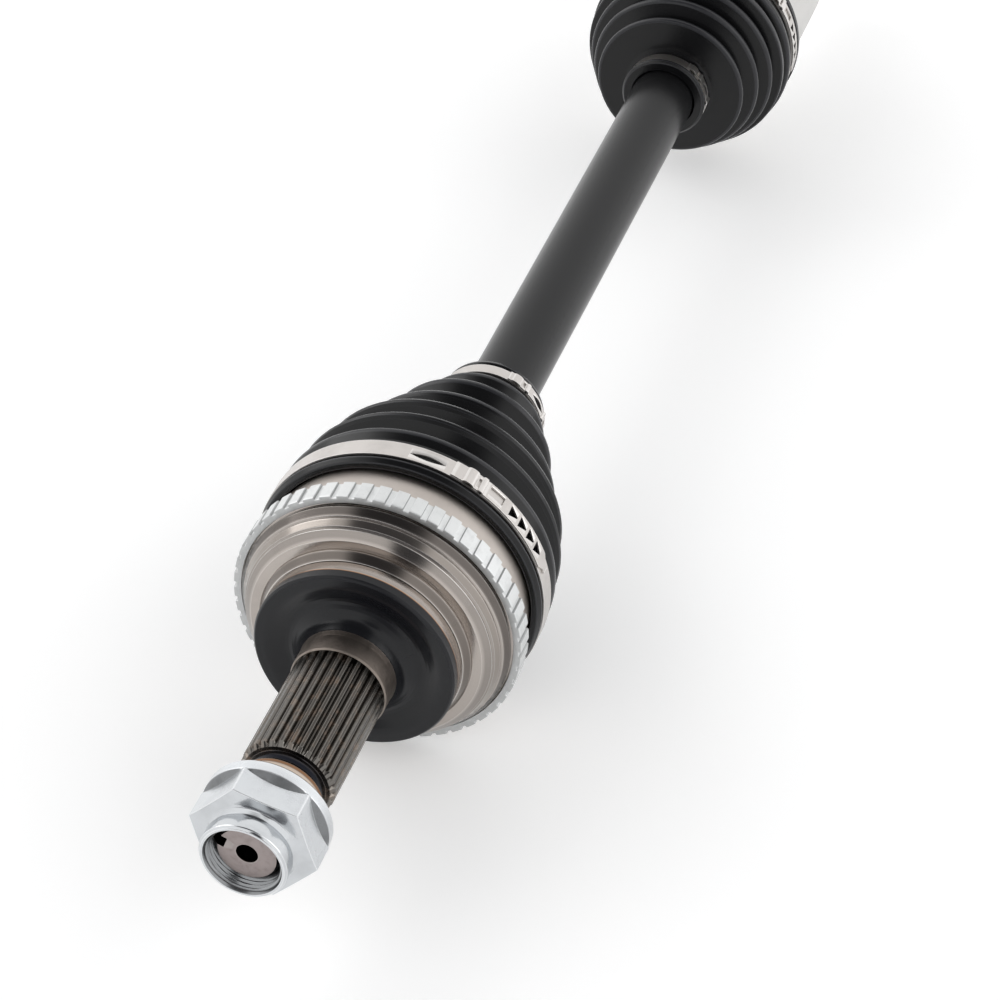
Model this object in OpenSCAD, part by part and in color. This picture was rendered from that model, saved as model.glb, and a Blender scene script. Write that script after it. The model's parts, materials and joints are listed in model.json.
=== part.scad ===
// Front drive axle of a car: a ball joint with a splined stub at the wheel end, a bar shaft,
// and a plunging tripod joint at the gearbox end. Millimetres, +Z up.
// The axle lies along Y with the wheel end towards -Y. The origin is the middle of the
// smooth journal that centres the axle in the wheel hub.

/* [Wheel end stub] */
// Radius of the smooth hub journal
journal_r = 15.9; // [15.6:0.1:16.2]
// Length of the smooth hub journal
journal_len = 8; // [6:0.5:9]
// Number of teeth on the hub spline
hub_teeth = 30; // [20:1:34]
// Outer radius of the hub spline
hub_spline_r = 15.3; // [15:0.1:15.5]
// Depth of the spline tooth gaps
tooth_depth = 1.3; // [0.8:0.1:1.5]
// Front end of the hub spline
hub_spline_front = -48.2; // [-50:0.2:-40]
// Radius of the threaded end
thread_r = 12; // [11:0.1:12.4]
// Position of the stub's end face
stub_end = -80.4; // [-83:0.2:-78]
// Radius of the centre hole in the stub's end face
centre_hole_r = 3.4; // [2.5:0.1:4]
// Width of the stake notch in the stub's threaded end
notch_w = 4; // [3:0.5:5]
// Turn of the stake notch about the axle
notch_turn = -70; // [-90:5:-45]

/* [Axle nut] */
// Width of the nut across its flats
nut_flats = 36; // [34:0.5:38]
// Radius of the nut's flange
flange_r = 20.3; // [19.5:0.1:21.5]
// Back face of the nut's flange, which clamps the hub
nut_back = -61.4; // [-63:0.2:-58]
// Height of the flange and hexagon together
nut_height = 14.8; // [13:0.2:16]
// Length of the staking collar in front of the hexagon
collar_len = 8.3; // [6:0.1:10]
// Outer radius of the staking collar
collar_r = 14; // [13.6:0.1:15]
// Turn of the hexagon's corners about the axle
hex_turn = -15.4; // [-30:0.1:30]

/* [Ball joint] */
// Front face of the shoulder that the hub's bearing seats on
shoulder_y = 9.5; // [9:0.1:10]
// Radius of that shoulder
shoulder_r = 33.5; // [32.8:0.1:34]
// Outer radius of the joint's bell
bell_r = 45.2; // [44.8:0.1:45.6]
// Position of the ball joint's centre
ball_joint_y = 47; // [46.5:0.1:47.5]
// Distance from the joint's centre to the bell's mouth
mouth_depth = 15; // [14:0.5:16]
// Radius of the balls
ball_r = 8; // [7.4:0.1:8.1]
// Radius of the circle that the balls' centres lie on
ball_pitch_r = 30; // [29.6:0.1:30.2]
// Outer radius of the ball cage
cage_r = 32.6; // [32:0.1:32.8]
// Thickness of the ball cage
cage_wall = 5; // [4:0.1:5.5]
// Free play between the balls and their tracks
track_play = 1.4; // [1.3:0.1:1.6]

/* [Tone ring] */
// Number of teeth on the speed sensor's ring
tone_teeth = 50; // [36:1:56]
// Radius over the ring's teeth
tone_r = 48.5; // [48:0.1:49]
// Depth of the gaps between the ring's teeth
tone_gap = 1.5; // [1:0.1:1.8]
// Width of the ring along the axle
tone_len = 7.7; // [6:0.1:9]

/* [Shaft] */
// Radius of the bar shaft
shaft_r = 12.1; // [11.6:0.1:12.3]
// Radius of the shaft's splined ends
shaft_end_r = 11; // [10.5:0.1:11.2]

/* [Tripod joint] */
// Mouth of the tripod housing
tripod_mouth = 400; // [398:0.5:402]
// Position of the tripod's centre at rest
tripod_y = 435; // [434:0.5:436]
// Distance from the axle to the middle of each roller
trunnion_pitch = 19.7; // [19.4:0.1:20]
// Radius of the rollers' round rims
roller_r = 13.5; // [13:0.1:13.6]
// Width of a roller
roller_width = 9.6; // [9:0.1:10]
// Radius of the trunnions that the rollers turn on
trunnion_r = 7.2; // [7:0.1:7.4]
// Wall of the housing around each roller track
lobe_wall = 3; // [2.6:0.1:3.2]
// Depth of the roller tracks from the mouth
track_len = 61; // [60:0.5:64]
// Number of needles in a roller
needle_count = 22; // [16:1:23]

/* [Gearbox stub] */
// Radius of the journal that the gearbox's oil seal runs on
seal_r = 18; // [17:0.5:20]
// Number of teeth on the gearbox spline
box_teeth = 28; // [20:1:32]
// Outer radius of the gearbox spline
box_spline_r = 14; // [13:0.1:15]
// End of the gearbox stub
box_end = 527; // [520:1:540]

/* [Boots and clamps] */
// Thickness of the rubber boots
boot_wall = 2.2; // [1.8:0.1:2.6]
// Outer radius of the wheel end boot's large clamp
big_clamp_r = 49.2; // [49:0.1:49.6]
// Thickness of the clamp bands
band = 1.1; // [0.8:0.1:1.2]

/* [Hidden] */
$fn = 64;

// A push fit between pieces that stay together
fit = 0.05;
// The gap between curved faces that move past each other
gap = 0.3;

mouth_y = ball_joint_y + mouth_depth;
tone_front = shoulder_y + 21.5;
tone_seat_r = bell_r + 0.6;
cuff_seat_r = bell_r - 1.4;
track_r = ball_r + track_play;
race_r = cage_r - cage_wall - gap;
bell_cavity_r = cage_r + gap;
race_half = 11;
cage_half = 12;
race_bore_r = shaft_end_r + fit;
clip_wire = 1.5;

roller_track_r = roller_r + 0.8;
lobe_r = roller_track_r + lobe_wall;
web_r = 30;
throat_r = 17.5;
tripod_back = tripod_mouth + track_len + 7;
spider_half = 10;
spider_hub_r = 14;
trunnion_end = trunnion_pitch + roller_width / 2 + 2.5;
needle_r = 1.1;
needle_circle_r = trunnion_r + needle_r + 0.1;
roller_bore_r = needle_circle_r + needle_r + 0.1;
ring_groove_r = trunnion_r - 0.5;
clip_groove_r = shaft_end_r - 0.9;

box_spline_start = tripod_back + 24;
box_clip_y = box_end - 6;
box_centre_hole_r = 3;

stub_ring_r = thread_r + 1.8;
stub_neck_r = thread_r + 0.6;
centre_hole_depth = 9;
notch_depth = 15;
notch_floor_r = thread_r - 3.2;

hex_r = nut_flats / sqrt(3);
nut_front = nut_back - nut_height;
collar_front = nut_front - collar_len;
// The nut's thread starts in a countersink wider than the stub's shoulder behind it
countersink_r = thread_r + 2.3;

// Small cuff of the wheel end boot
small_cuff = [141, 150.5];
small_cuff_r = 17.6;
small_band = [143, 146.5];
big_band = [53.4, 60.5];
// Small cuff of the gearbox end boot
box_cuff = [355, 363];
box_cuff_r = 15;
box_band = [358, 362];
// Large cuff of the gearbox end boot
tulip_cuff = [397, 410];
tulip_cuff_r = 38.6;
tulip_band = [400, 406];
// The wheel end boot's folds, from the large end, as [position, radius] of crests and valleys
outer_folds = [
    [68.2, 48.9], [73.5, 42.5], [79.5, 47.8], [86, 39], [92, 44], [100, 32.5],
    [107.5, 36], [116, 26], [123.5, 29.5], [131, 21.2], [137, 22.4]
];
// The gearbox end boot's folds, from the small end
inner_folds = [
    [365.8, 29.1], [369.5, 25], [373.8, 33.1], [377.6, 28.6], [381.4, 36.6], [384.6, 32],
    [387.8, 39.3], [391, 35], [394.2, 40.3]
];

// Turns an outline of [radius, position] points about the axle
module turned(points) {
    rotate([-90, 0, 0])
        rotate_extrude()
            polygon(points);
}

// A bar along the axle between two positions
module bar(radius, from, to) {
    translate([0, from, 0])
        rotate([-90, 0, 0])
            cylinder(r = radius, h = to - from);
}

// A flat ring round the axle
module ring(outer, inner, from, to) {
    turned([[inner, from], [outer, from], [outer, to], [inner, to]]);
}

// A flat outline stretched along the axle, with the outline's up towards +Z
module stretched(from, to) {
    translate([0, to, 0])
        rotate([90, 0, 0])
            linear_extrude(height = to - from)
                children();
}

// The section of a splined bar
module spline_section(radius, depth, teeth) {
    gap_half = 180 / teeth * 0.55;
    difference() {
        circle(r = radius);
        for (i = [0 : teeth - 1])
            rotate(i * 360 / teeth)
                polygon([
                    [radius - depth, -depth / 3],
                    [radius + 1, -radius * sin(gap_half)],
                    [radius + 1, radius * sin(gap_half)],
                    [radius - depth, depth / 3]
                ]);
    }
}

// One curved ball track, which runs from deep inside the joint out past its mouth
module ball_track(turn) {
    translate([0, ball_joint_y, 0])
        rotate([0, turn, 0])
            rotate([0, 0, -40])
                rotate_extrude(angle = 85)
                    translate([ball_pitch_r, 0])
                        circle(r = track_r);
}

// A ball about the ball joint's centre, with its seam and poles clear of the cage's windows
module joint_sphere(radius) {
    translate([0, ball_joint_y, 0])
        rotate([0, 30, 0])
            rotate([-90, 0, 0])
                sphere(r = radius);
}

// A snap ring with a gap at its top
module snap_ring(outer, inner, from, to) {
    difference() {
        ring(outer, inner, from, to);
        translate([-clip_wire, from - 1, 0])
            cube([clip_wire * 2, to - from + 2, outer + 1]);
    }
}

// A clamp band with its raised ear, turned about the axle
module clamp_band(outer, inner, span, ear_turn) {
    ear_len = 7;
    ear_h = 1;
    difference() {
        union() {
            bar(outer, span[0], span[1]);
            rotate([0, ear_turn, 0])
                translate([-ear_len / 2, span[0] + 0.5, outer - 1])
                    cube([ear_len, span[1] - span[0] - 1, 1 + ear_h]);
        }
        bar(inner, span[0] - 1, span[1] + 1);
    }
}

// Places a roller's piece on one of the three trunnions
module on_trunnion(number) {
    translate([0, tripod_y, 0])
        rotate([0, (number - 1) * 120, 0])
            children();
}

// The outline of the tripod housing: three lobes joined by a round web
module tulip_section(grow) {
    circle(r = web_r + grow);
    for (i = [0 : 2])
        rotate(90 + i * 120)
            translate([trunnion_pitch, 0])
                circle(r = lobe_r + grow);
}

module outer_housing() {
    color([0.72, 0.68, 0.64])
        difference() {
            union() {
                turned([
                    [0, 4], [journal_r, 4], [journal_r + 1.2, 7], [journal_r + 5, shoulder_y + 3],
                    [25.5, shoulder_y + 2.6], [27.5, shoulder_y], [shoulder_r - 0.8, shoulder_y],
                    [shoulder_r, shoulder_y + 0.8], [shoulder_r, shoulder_y + 10.4],
                    [shoulder_r + 2.3, shoulder_y + 11.4], [shoulder_r + 5.3, shoulder_y + 11.6],
                    [bell_r - 3.5, shoulder_y + 14.1], [bell_r - 1.8, shoulder_y + 17.4],
                    [tone_seat_r, tone_front - 0.6], [tone_seat_r, tone_front + tone_len],
                    [bell_r, tone_front + tone_len + 1], [bell_r - 0.4, 51], [cuff_seat_r, 52],
                    [cuff_seat_r, mouth_y], [0, mouth_y]
                ]);
                bar(journal_r, -journal_len / 2, 5);
                stretched(hub_spline_front, -journal_len / 2 + 1)
                    spline_section(hub_spline_r, tooth_depth, hub_teeth);
                turned([
                    [0, stub_end], [thread_r - 1.5, stub_end], [thread_r, stub_end + 1.5],
                    [thread_r, nut_back], [stub_ring_r, nut_back],
                    [stub_ring_r, nut_back + 8.2], [stub_neck_r, nut_back + 9.6],
                    [stub_neck_r, hub_spline_front], [0, hub_spline_front]
                ]);
            }
            joint_sphere(bell_cavity_r);
            turned([[0, mouth_y - 5], [30.8, mouth_y - 5], [34, mouth_y + 0.5], [0, mouth_y + 0.5]]);
            for (i = [0 : 5])
                ball_track(i * 60);
            bar(centre_hole_r, stub_end - 1, stub_end + centre_hole_depth);
            rotate([0, notch_turn, 0])
                translate([-notch_w / 2, stub_end - 1, notch_floor_r])
                    cube([notch_w, notch_depth + 1, thread_r]);
        }
}

module axle_nut() {
    color([0.85, 0.87, 0.88])
        difference() {
            union() {
                intersection() {
                    translate([0, nut_front, 0])
                        rotate([-90, 0, 0])
                            rotate(30 + hex_turn)
                                cylinder(r = hex_r, h = nut_height - 2, $fn = 6);
                    turned([
                        [0, nut_front], [hex_r - 5, nut_front], [hex_r + 0.2, nut_front + 0.9],
                        [hex_r + 0.2, nut_back], [0, nut_back]
                    ]);
                }
                turned([
                    [0, nut_back - 5.4], [hex_r * 0.9, nut_back - 5.4], [flange_r, nut_back - 4],
                    [flange_r, nut_back - 0.6], [flange_r - 0.6, nut_back], [0, nut_back]
                ]);
                turned([
                    [0, collar_front], [collar_r - 0.5, collar_front], [collar_r, collar_front + 0.5],
                    [collar_r, nut_front - 2.6], [collar_r - 0.6, nut_front - 2],
                    [collar_r - 0.6, nut_front - 1], [collar_r + 1, nut_front + 0.1],
                    [0, nut_front + 0.1]
                ]);
            }
            bar(thread_r + fit, collar_front - 1, nut_back + 1);
            turned([
                [0, nut_back - 2.4], [thread_r + fit, nut_back - 2.4], [countersink_r, nut_back],
                [countersink_r, nut_back + 1], [0, nut_back + 1]
            ]);
        }
}

module tone_ring() {
    color([0.86, 0.88, 0.88])
        stretched(tone_front, tone_front + tone_len)
            difference() {
                circle(r = tone_r);
                circle(r = tone_seat_r + fit);
                for (i = [0 : tone_teeth - 1])
                    rotate(i * 360 / tone_teeth)
                        translate([tone_r - tone_gap, -1.2])
                            square([tone_gap + 1, 2.4]);
            }
}

module inner_race() {
    color([0.6, 0.6, 0.62])
        difference() {
            intersection() {
                joint_sphere(race_r);
                bar(race_r + 1, ball_joint_y - race_half, ball_joint_y + race_half);
            }
            bar(race_bore_r, ball_joint_y - race_half - 1, ball_joint_y + race_half + 1);
            for (i = [0 : 5])
                ball_track(i * 60);
        }
}

module ball_cage() {
    color([0.5, 0.5, 0.52])
        difference() {
            intersection() {
                joint_sphere(cage_r);
                bar(cage_r + 1, ball_joint_y - cage_half, ball_joint_y + cage_half);
            }
            joint_sphere(cage_r - cage_wall);
            for (i = [0 : 5])
                translate([0, ball_joint_y, 0])
                    rotate([0, 90 + i * 60, 0])
                        cylinder(r = ball_r + 0.1, h = cage_r + 2);
        }
}

module ball(number) {
    color([0.8, 0.8, 0.82])
        translate([0, ball_joint_y, 0])
            rotate([0, (number - 1) * 60, 0])
                translate([ball_pitch_r, 0, 0])
                    sphere(r = ball_r);
}

module race_circlip() {
    color([0.3, 0.3, 0.32])
        snap_ring(
            shaft_end_r + 1.4, clip_groove_r + fit,
            ball_joint_y - race_half - clip_wire - 0.1, ball_joint_y - race_half - 0.1
        );
}

module outer_boot() {
    outer = [for (p = outer_folds) [p[1], p[0]]];
    inner = [
        for (i = [len(outer_folds) - 1 : -1 : 0])
            [outer_folds[i][1] - boot_wall, outer_folds[i][0]]
    ];
    color([0.12, 0.12, 0.13])
        turned(concat(
            [
                [bell_r - 0.2, 49.5], [big_clamp_r - band - 0.6, 50.2], [big_clamp_r - band - fit, 53],
                [big_clamp_r - band - fit, 61], [48.2, 66]
            ],
            outer,
            [
                [small_cuff_r, small_cuff[0]], [small_cuff_r, 148], [small_cuff_r + 0.4, 149],
                [small_cuff_r, small_cuff[1]], [shaft_r + gap, small_cuff[1]],
                [shaft_r + gap, small_cuff[0]]
            ],
            inner,
            [[45.6, 66], [45, mouth_y + 1], [cuff_seat_r + fit, mouth_y + 1], [cuff_seat_r + fit, 52.1],
                [bell_r + fit, 51.1]]
        ));
}

module outer_boot_clamp_large() {
    color([0.8, 0.78, 0.76])
        clamp_band(big_clamp_r, big_clamp_r - band, big_band, 30);
}

module outer_boot_clamp_small() {
    color([0.8, 0.78, 0.76])
        clamp_band(small_cuff_r + gap + band, small_cuff_r + gap, small_band, 40);
}

module axle_shaft() {
    color([0.25, 0.25, 0.26])
        turned([
            [0, ball_joint_y - 14], [shaft_end_r - 1, ball_joint_y - 14],
            [shaft_end_r, ball_joint_y - 13.4], [shaft_end_r, ball_joint_y - race_half - clip_wire - 0.2],
            [clip_groove_r, ball_joint_y - race_half - clip_wire - 0.2],
            [clip_groove_r, ball_joint_y - race_half], [shaft_end_r, ball_joint_y - race_half],
            [shaft_end_r, ball_joint_y + race_half + 6], [shaft_r, ball_joint_y + race_half + 9],
            [shaft_r, tripod_y - spider_half - 9], [shaft_end_r, tripod_y - spider_half - 6],
            [shaft_end_r, tripod_y + spider_half],
            [clip_groove_r, tripod_y + spider_half],
            [clip_groove_r, tripod_y + spider_half + clip_wire + 0.2],
            [shaft_end_r, tripod_y + spider_half + clip_wire + 0.2],
            [shaft_end_r, tripod_y + spider_half + 3.4], [shaft_end_r - 1, tripod_y + spider_half + 4],
            [0, tripod_y + spider_half + 4]
        ]);
}

module spider() {
    color([0.55, 0.55, 0.57])
        difference() {
            union() {
                bar(spider_hub_r, tripod_y - spider_half, tripod_y + spider_half);
                for (i = [1 : 3])
                    on_trunnion(i)
                        difference() {
                            cylinder(r = trunnion_r, h = trunnion_end);
                            translate([0, 0, trunnion_pitch + roller_width / 2 + 0.3])
                                difference() {
                                    cylinder(r = trunnion_r + 1, h = 1.2);
                                    cylinder(r = ring_groove_r, h = 1.2);
                                }
                        }
            }
            bar(race_bore_r, tripod_y - spider_half - 1, tripod_y + spider_half + 1);
        }
}

module spider_circlip() {
    color([0.3, 0.3, 0.32])
        snap_ring(
            shaft_end_r + 1.4, clip_groove_r + fit,
            tripod_y + spider_half + 0.1, tripod_y + spider_half + clip_wire + 0.1
        );
}

module roller(number) {
    color([0.78, 0.78, 0.8])
        on_trunnion(number)
            translate([0, 0, trunnion_pitch])
                difference() {
                    intersection() {
                        sphere(r = roller_r);
                        cylinder(r = roller_r + 1, h = roller_width, center = true);
                    }
                    cylinder(r = roller_bore_r, h = roller_width + 2, center = true);
                }
}

module needles(number) {
    color([0.82, 0.82, 0.84])
        on_trunnion(number)
            for (i = [0 : needle_count - 1])
                rotate([0, 0, i * 360 / needle_count])
                    translate([needle_circle_r, 0, trunnion_pitch])
                        cylinder(r = needle_r, h = roller_width - 0.6, center = true, $fn = 24);
}

module roller_ring(number) {
    color([0.35, 0.35, 0.37])
        on_trunnion(number)
            translate([0, 0, trunnion_pitch + roller_width / 2 + 0.4])
                difference() {
                    cylinder(r = roller_bore_r - 0.2, h = 1);
                    translate([0, 0, -1])
                        cylinder(r = ring_groove_r + fit, h = 3);
                    translate([0, -1, -1])
                        cube([roller_bore_r + 1, 2, 3]);
                }
}

module tripod_housing() {
    color([0.82, 0.81, 0.8])
        difference() {
            union() {
                stretched(tripod_mouth, tripod_back)
                    tulip_section(0);
                turned([
                    [0, tripod_back - 1], [27, tripod_back - 1], [27, tripod_back + 1],
                    [seal_r + 1, tripod_back + 5], [seal_r, tripod_back + 6],
                    [seal_r, tripod_back + 20], [seal_r - 1, tripod_back + 21],
                    [box_spline_r - 1.4, tripod_back + 21], [box_spline_r - 1.4, box_end - 1.5],
                    [box_spline_r - 3, box_end], [0, box_end]
                ]);
                stretched(box_spline_start, box_end - 1.5)
                    spline_section(box_spline_r, 1.2, box_teeth);
            }
            stretched(tripod_mouth - 1, tripod_mouth + track_len) {
                circle(r = throat_r);
                for (i = [0 : 2])
                    rotate(90 + i * 120)
                        translate([trunnion_pitch, 0])
                            circle(r = roller_track_r);
            }
            turned([
                [0, tripod_mouth - 1], [29, tripod_mouth - 1], [29, tripod_mouth],
                [throat_r - 0.5, tripod_mouth + 36], [0, tripod_mouth + 36]
            ]);
            ring(box_spline_r + 1, box_spline_r - 1.8, box_clip_y, box_clip_y + clip_wire + 0.3);
            bar(box_centre_hole_r, box_end - 8, box_end + 1);
        }
}

module inner_boot() {
    outer = [for (p = inner_folds) [p[1], p[0]]];
    inner = [
        for (i = [len(inner_folds) - 1 : -1 : 0])
            [inner_folds[i][1] - boot_wall, inner_folds[i][0] + 1]
    ];
    color([0.12, 0.12, 0.13])
        difference() {
            turned(concat(
                [
                    [shaft_r + gap, box_cuff[0]], [box_cuff_r - 0.5, box_cuff[0]],
                    [box_cuff_r, box_cuff[0] + 1], [box_cuff_r, box_cuff[1]],
                    [box_cuff_r + 2, box_cuff[1] + 0.6]
                ],
                outer,
                [
                    [tulip_cuff_r, tulip_cuff[0] + 1.5], [tulip_cuff_r, 406.8], [40.1, 407.4],
                    [40.1, tulip_cuff[1] - 0.6], [39.5, tulip_cuff[1]],
                    [28, tulip_cuff[1]], [28, tripod_mouth + 0.2], [34.5, tripod_mouth - 1.4]
                ],
                inner,
                [[box_cuff_r, box_cuff[1] + 2.4], [shaft_r + gap, box_cuff[1] + 1]]
            ));
            stretched(tripod_mouth, tulip_cuff[1] + 1)
                tulip_section(fit);
        }
}

module inner_boot_clamp_large() {
    color([0.8, 0.78, 0.76])
        clamp_band(tulip_cuff_r + fit + band, tulip_cuff_r + fit, tulip_band, 55);
}

module inner_boot_clamp_small() {
    color([0.8, 0.78, 0.76])
        clamp_band(box_cuff_r + gap + band, box_cuff_r + gap, box_band, 38);
}

module stub_circlip() {
    color([0.3, 0.3, 0.32])
        snap_ring(
            box_spline_r - 0.3, box_spline_r - 1.8 + fit,
            box_clip_y + 0.15, box_clip_y + clip_wire + 0.15
        );
}

outer_housing();
axle_nut();
tone_ring();
inner_race();
ball_cage();
ball(1);  // ball_1
ball(2);  // ball_2
ball(3);  // ball_3
ball(4);  // ball_4
ball(5);  // ball_5
ball(6);  // ball_6
race_circlip();
outer_boot();
outer_boot_clamp_large();
outer_boot_clamp_small();
axle_shaft();
spider();
spider_circlip();
roller(1);  // roller_1
roller(2);  // roller_2
roller(3);  // roller_3
needles(1);  // needles_1
needles(2);  // needles_2
needles(3);  // needles_3
roller_ring(1);  // roller_ring_1
roller_ring(2);  // roller_ring_2
roller_ring(3);  // roller_ring_3
tripod_housing();
inner_boot();
inner_boot_clamp_large();
inner_boot_clamp_small();
stub_circlip();
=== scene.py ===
"""A car's front drive axle, dressed over its packed frame.

The axle lies along +Y with the wheel end towards -Y and +Z up. Outlines are in millimetres, as
(position along the axle, radius), and meshes are in metres.
"""

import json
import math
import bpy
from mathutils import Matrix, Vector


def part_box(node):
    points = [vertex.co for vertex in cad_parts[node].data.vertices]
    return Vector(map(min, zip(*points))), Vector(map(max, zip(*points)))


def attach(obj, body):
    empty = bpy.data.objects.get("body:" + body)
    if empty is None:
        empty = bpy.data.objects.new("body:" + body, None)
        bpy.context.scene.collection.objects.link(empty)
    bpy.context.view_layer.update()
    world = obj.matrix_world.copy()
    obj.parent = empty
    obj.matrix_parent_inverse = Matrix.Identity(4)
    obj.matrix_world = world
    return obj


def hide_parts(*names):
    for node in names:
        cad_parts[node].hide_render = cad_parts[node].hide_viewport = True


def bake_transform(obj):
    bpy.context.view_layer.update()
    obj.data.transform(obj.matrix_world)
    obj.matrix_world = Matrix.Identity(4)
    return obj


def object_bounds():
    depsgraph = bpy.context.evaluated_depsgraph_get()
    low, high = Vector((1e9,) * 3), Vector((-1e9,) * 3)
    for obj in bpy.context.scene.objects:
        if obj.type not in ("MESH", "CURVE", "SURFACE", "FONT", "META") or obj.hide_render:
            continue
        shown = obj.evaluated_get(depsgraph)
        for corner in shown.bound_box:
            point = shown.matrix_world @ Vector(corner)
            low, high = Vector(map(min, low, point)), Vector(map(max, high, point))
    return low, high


bl_info = {
    "name": "CV axle",
    "version": (1, 0, 0),
    "blender": (4, 5, 0),
    "location": "View3D > Sidebar > CV axle",
    "description": "Builds the visible surfaces of a drive axle over its packed frame",
    "category": "Object",
}

from typing import Callable, NamedTuple, Optional

import bmesh
import bpy
from bpy.props import FloatProperty, FloatVectorProperty, IntProperty, PointerProperty
from mathutils import Vector

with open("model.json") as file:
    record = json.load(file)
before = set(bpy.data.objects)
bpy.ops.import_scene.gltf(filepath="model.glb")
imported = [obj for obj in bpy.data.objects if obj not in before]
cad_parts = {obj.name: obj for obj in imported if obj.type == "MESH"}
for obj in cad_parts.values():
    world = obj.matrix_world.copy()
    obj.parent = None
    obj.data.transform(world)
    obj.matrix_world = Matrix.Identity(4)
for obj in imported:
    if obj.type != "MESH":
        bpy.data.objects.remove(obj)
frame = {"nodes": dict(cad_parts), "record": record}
CAD_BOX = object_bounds()

MM = 0.001
TURN = math.tau


def span(node):
    """Front end, back end and outer radius of a CAD node that is round about the axle, in millimetres."""
    low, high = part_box(node)
    return low.y / MM, high.y / MM, max(high.x, high.z) / MM


STUB_END, HOUSING_MOUTH, TONE_SEAT_R = span("outer_housing")
COLLAR_FRONT, NUT_BACK, _ = span("axle_nut")
TONE_FRONT, TONE_BACK, TONE_R = span("tone_ring")
LIP_FRONT, SMALL_CUFF_END, _ = span("outer_boot")
TULIP_MOUTH, BOX_STUB_END, _ = span("tripod_housing")
BOX_CUFF_START, TULIP_CUFF_END, _ = span("inner_boot")


# Sizes and colours that a user may change


def length(name, text, millimetres):
    """A size property, kept in metres and shown in the scene's unit."""
    return FloatProperty(
        name=name, description=text, default=millimetres * MM, unit="LENGTH", subtype="DISTANCE", precision=5
    )


def colour(name, text, value):
    """A colour property, in linear light."""
    return FloatVectorProperty(
        name=name, description=text, default=value, subtype="COLOR", size=3, min=0.0, max=1.0
    )


class HousingSizes(bpy.types.PropertyGroup):
    """Sizes of the ball joint's bell and its splined stub."""

    spline_teeth: IntProperty(name="Spline teeth", description="Teeth on the hub spline", default=30, min=8)
    tooth_depth: length("Tooth depth", "Depth of the gaps between the spline's teeth", 1.3)
    spline_r: length("Spline radius", "Outer radius of the hub spline", 15.3)
    journal_r: length("Journal radius", "Radius of the smooth journal behind the spline", 15.9)
    thread_r: length("Thread radius", "Radius of the stub's threaded end", 12.0)
    centre_hole_r: length("Centre hole radius", "Radius of the hole in the stub's end face", 3.4)
    notch_width: length("Notch width", "Width of the stake notch in the stub's end", 4.0)
    ball_circle_r: length("Ball circle radius", "Radius of the circle that the balls lie on", 30.0)
    track_r: length("Track radius", "Radius of the ball tracks", 9.4)


class NutSizes(bpy.types.PropertyGroup):
    """Sizes of the axle nut."""

    flats: length("Across flats", "Width of the hexagon across its flats", 36.0)
    collar_r: length("Collar radius", "Outer radius of the staking collar", 14.0)
    bore_r: length("Bore radius", "Radius at the bottom of the nut's thread", 12.05)
    pitch: length("Thread pitch", "Distance between two turns of the thread", 1.5)
    thread_depth: length("Thread depth", "Depth of the nut's thread", 0.75)
    hex_turn: FloatProperty(
        name="Hexagon turn",
        description="How far the hexagon's corners are turned about the axle from straight up",
        default=math.radians(-15.4),
        subtype="ANGLE",
    )


class ToneRingSizes(bpy.types.PropertyGroup):
    """Sizes of the speed sensor's toothed ring."""

    teeth: IntProperty(name="Teeth", description="Teeth round the ring", default=50, min=12)
    gap_depth: length("Gap depth", "Depth of the gaps between the teeth", 0.85)
    gap_width: length("Gap width", "Width of the gaps between the teeth", 2.1)


class BootSizes(bpy.types.PropertyGroup):
    """Sizes of the two rubber boots."""

    wall: length("Wall", "Thickness of the rubber", 2.0)
    crest: length("Crest rounding", "Rounding of the folds' crests", 2.4)
    valley: length("Valley rounding", "Rounding of the folds' valleys", 0.8)


class ClampSizes(bpy.types.PropertyGroup):
    """Sizes of the boot clamps."""

    sheet: length("Sheet", "Thickness of the clamp's sheet", 0.7)
    ear: length("Ear height", "How far the hooks and ears stand above the band", 1.5)


class TripodSizes(bpy.types.PropertyGroup):
    """Sizes of the three-lobed tripod housing and its stub."""

    lobe_distance: length("Lobe distance", "Distance of each lobe's centre from the axle", 19.7)
    lobe_r: length("Lobe radius", "Outer radius of each lobe", 17.3)
    track_r: length("Track radius", "Radius of each roller track", 14.3)
    web_r: length("Web radius", "Radius of the round body between the lobes", 30.0)
    teeth: IntProperty(name="Spline teeth", description="Teeth on the gearbox spline", default=28, min=8)


class FinishColours(bpy.types.PropertyGroup):
    """Colours of the axle's finishes."""

    turned: colour("Turned steel", "Bell and shoulders", (0.50, 0.455, 0.42))
    zinc: colour("Zinc plate", "Axle nut", (0.66, 0.68, 0.70))
    sintered: colour("Sintered zinc", "Toothed ring", (0.68, 0.69, 0.69))
    scale: colour("Furnace scale", "Dark face of the hub flange", (0.008, 0.0085, 0.0105))
    spline: colour("Spline steel", "Teeth of the hub spline", (0.07, 0.064, 0.058))
    neck: colour("Journal steel", "Smooth journal behind the spline", (0.24, 0.205, 0.18))
    rubber: colour("Rubber", "Boots", (0.0045, 0.0046, 0.0052))
    paint: colour("Shaft paint", "Bar shaft", (0.0065, 0.0066, 0.0072))
    band: colour("Clamp steel", "Boot clamps", (0.60, 0.57, 0.545))
    silver: colour("Housing silver", "Tripod housing", (0.62, 0.61, 0.595))


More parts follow.
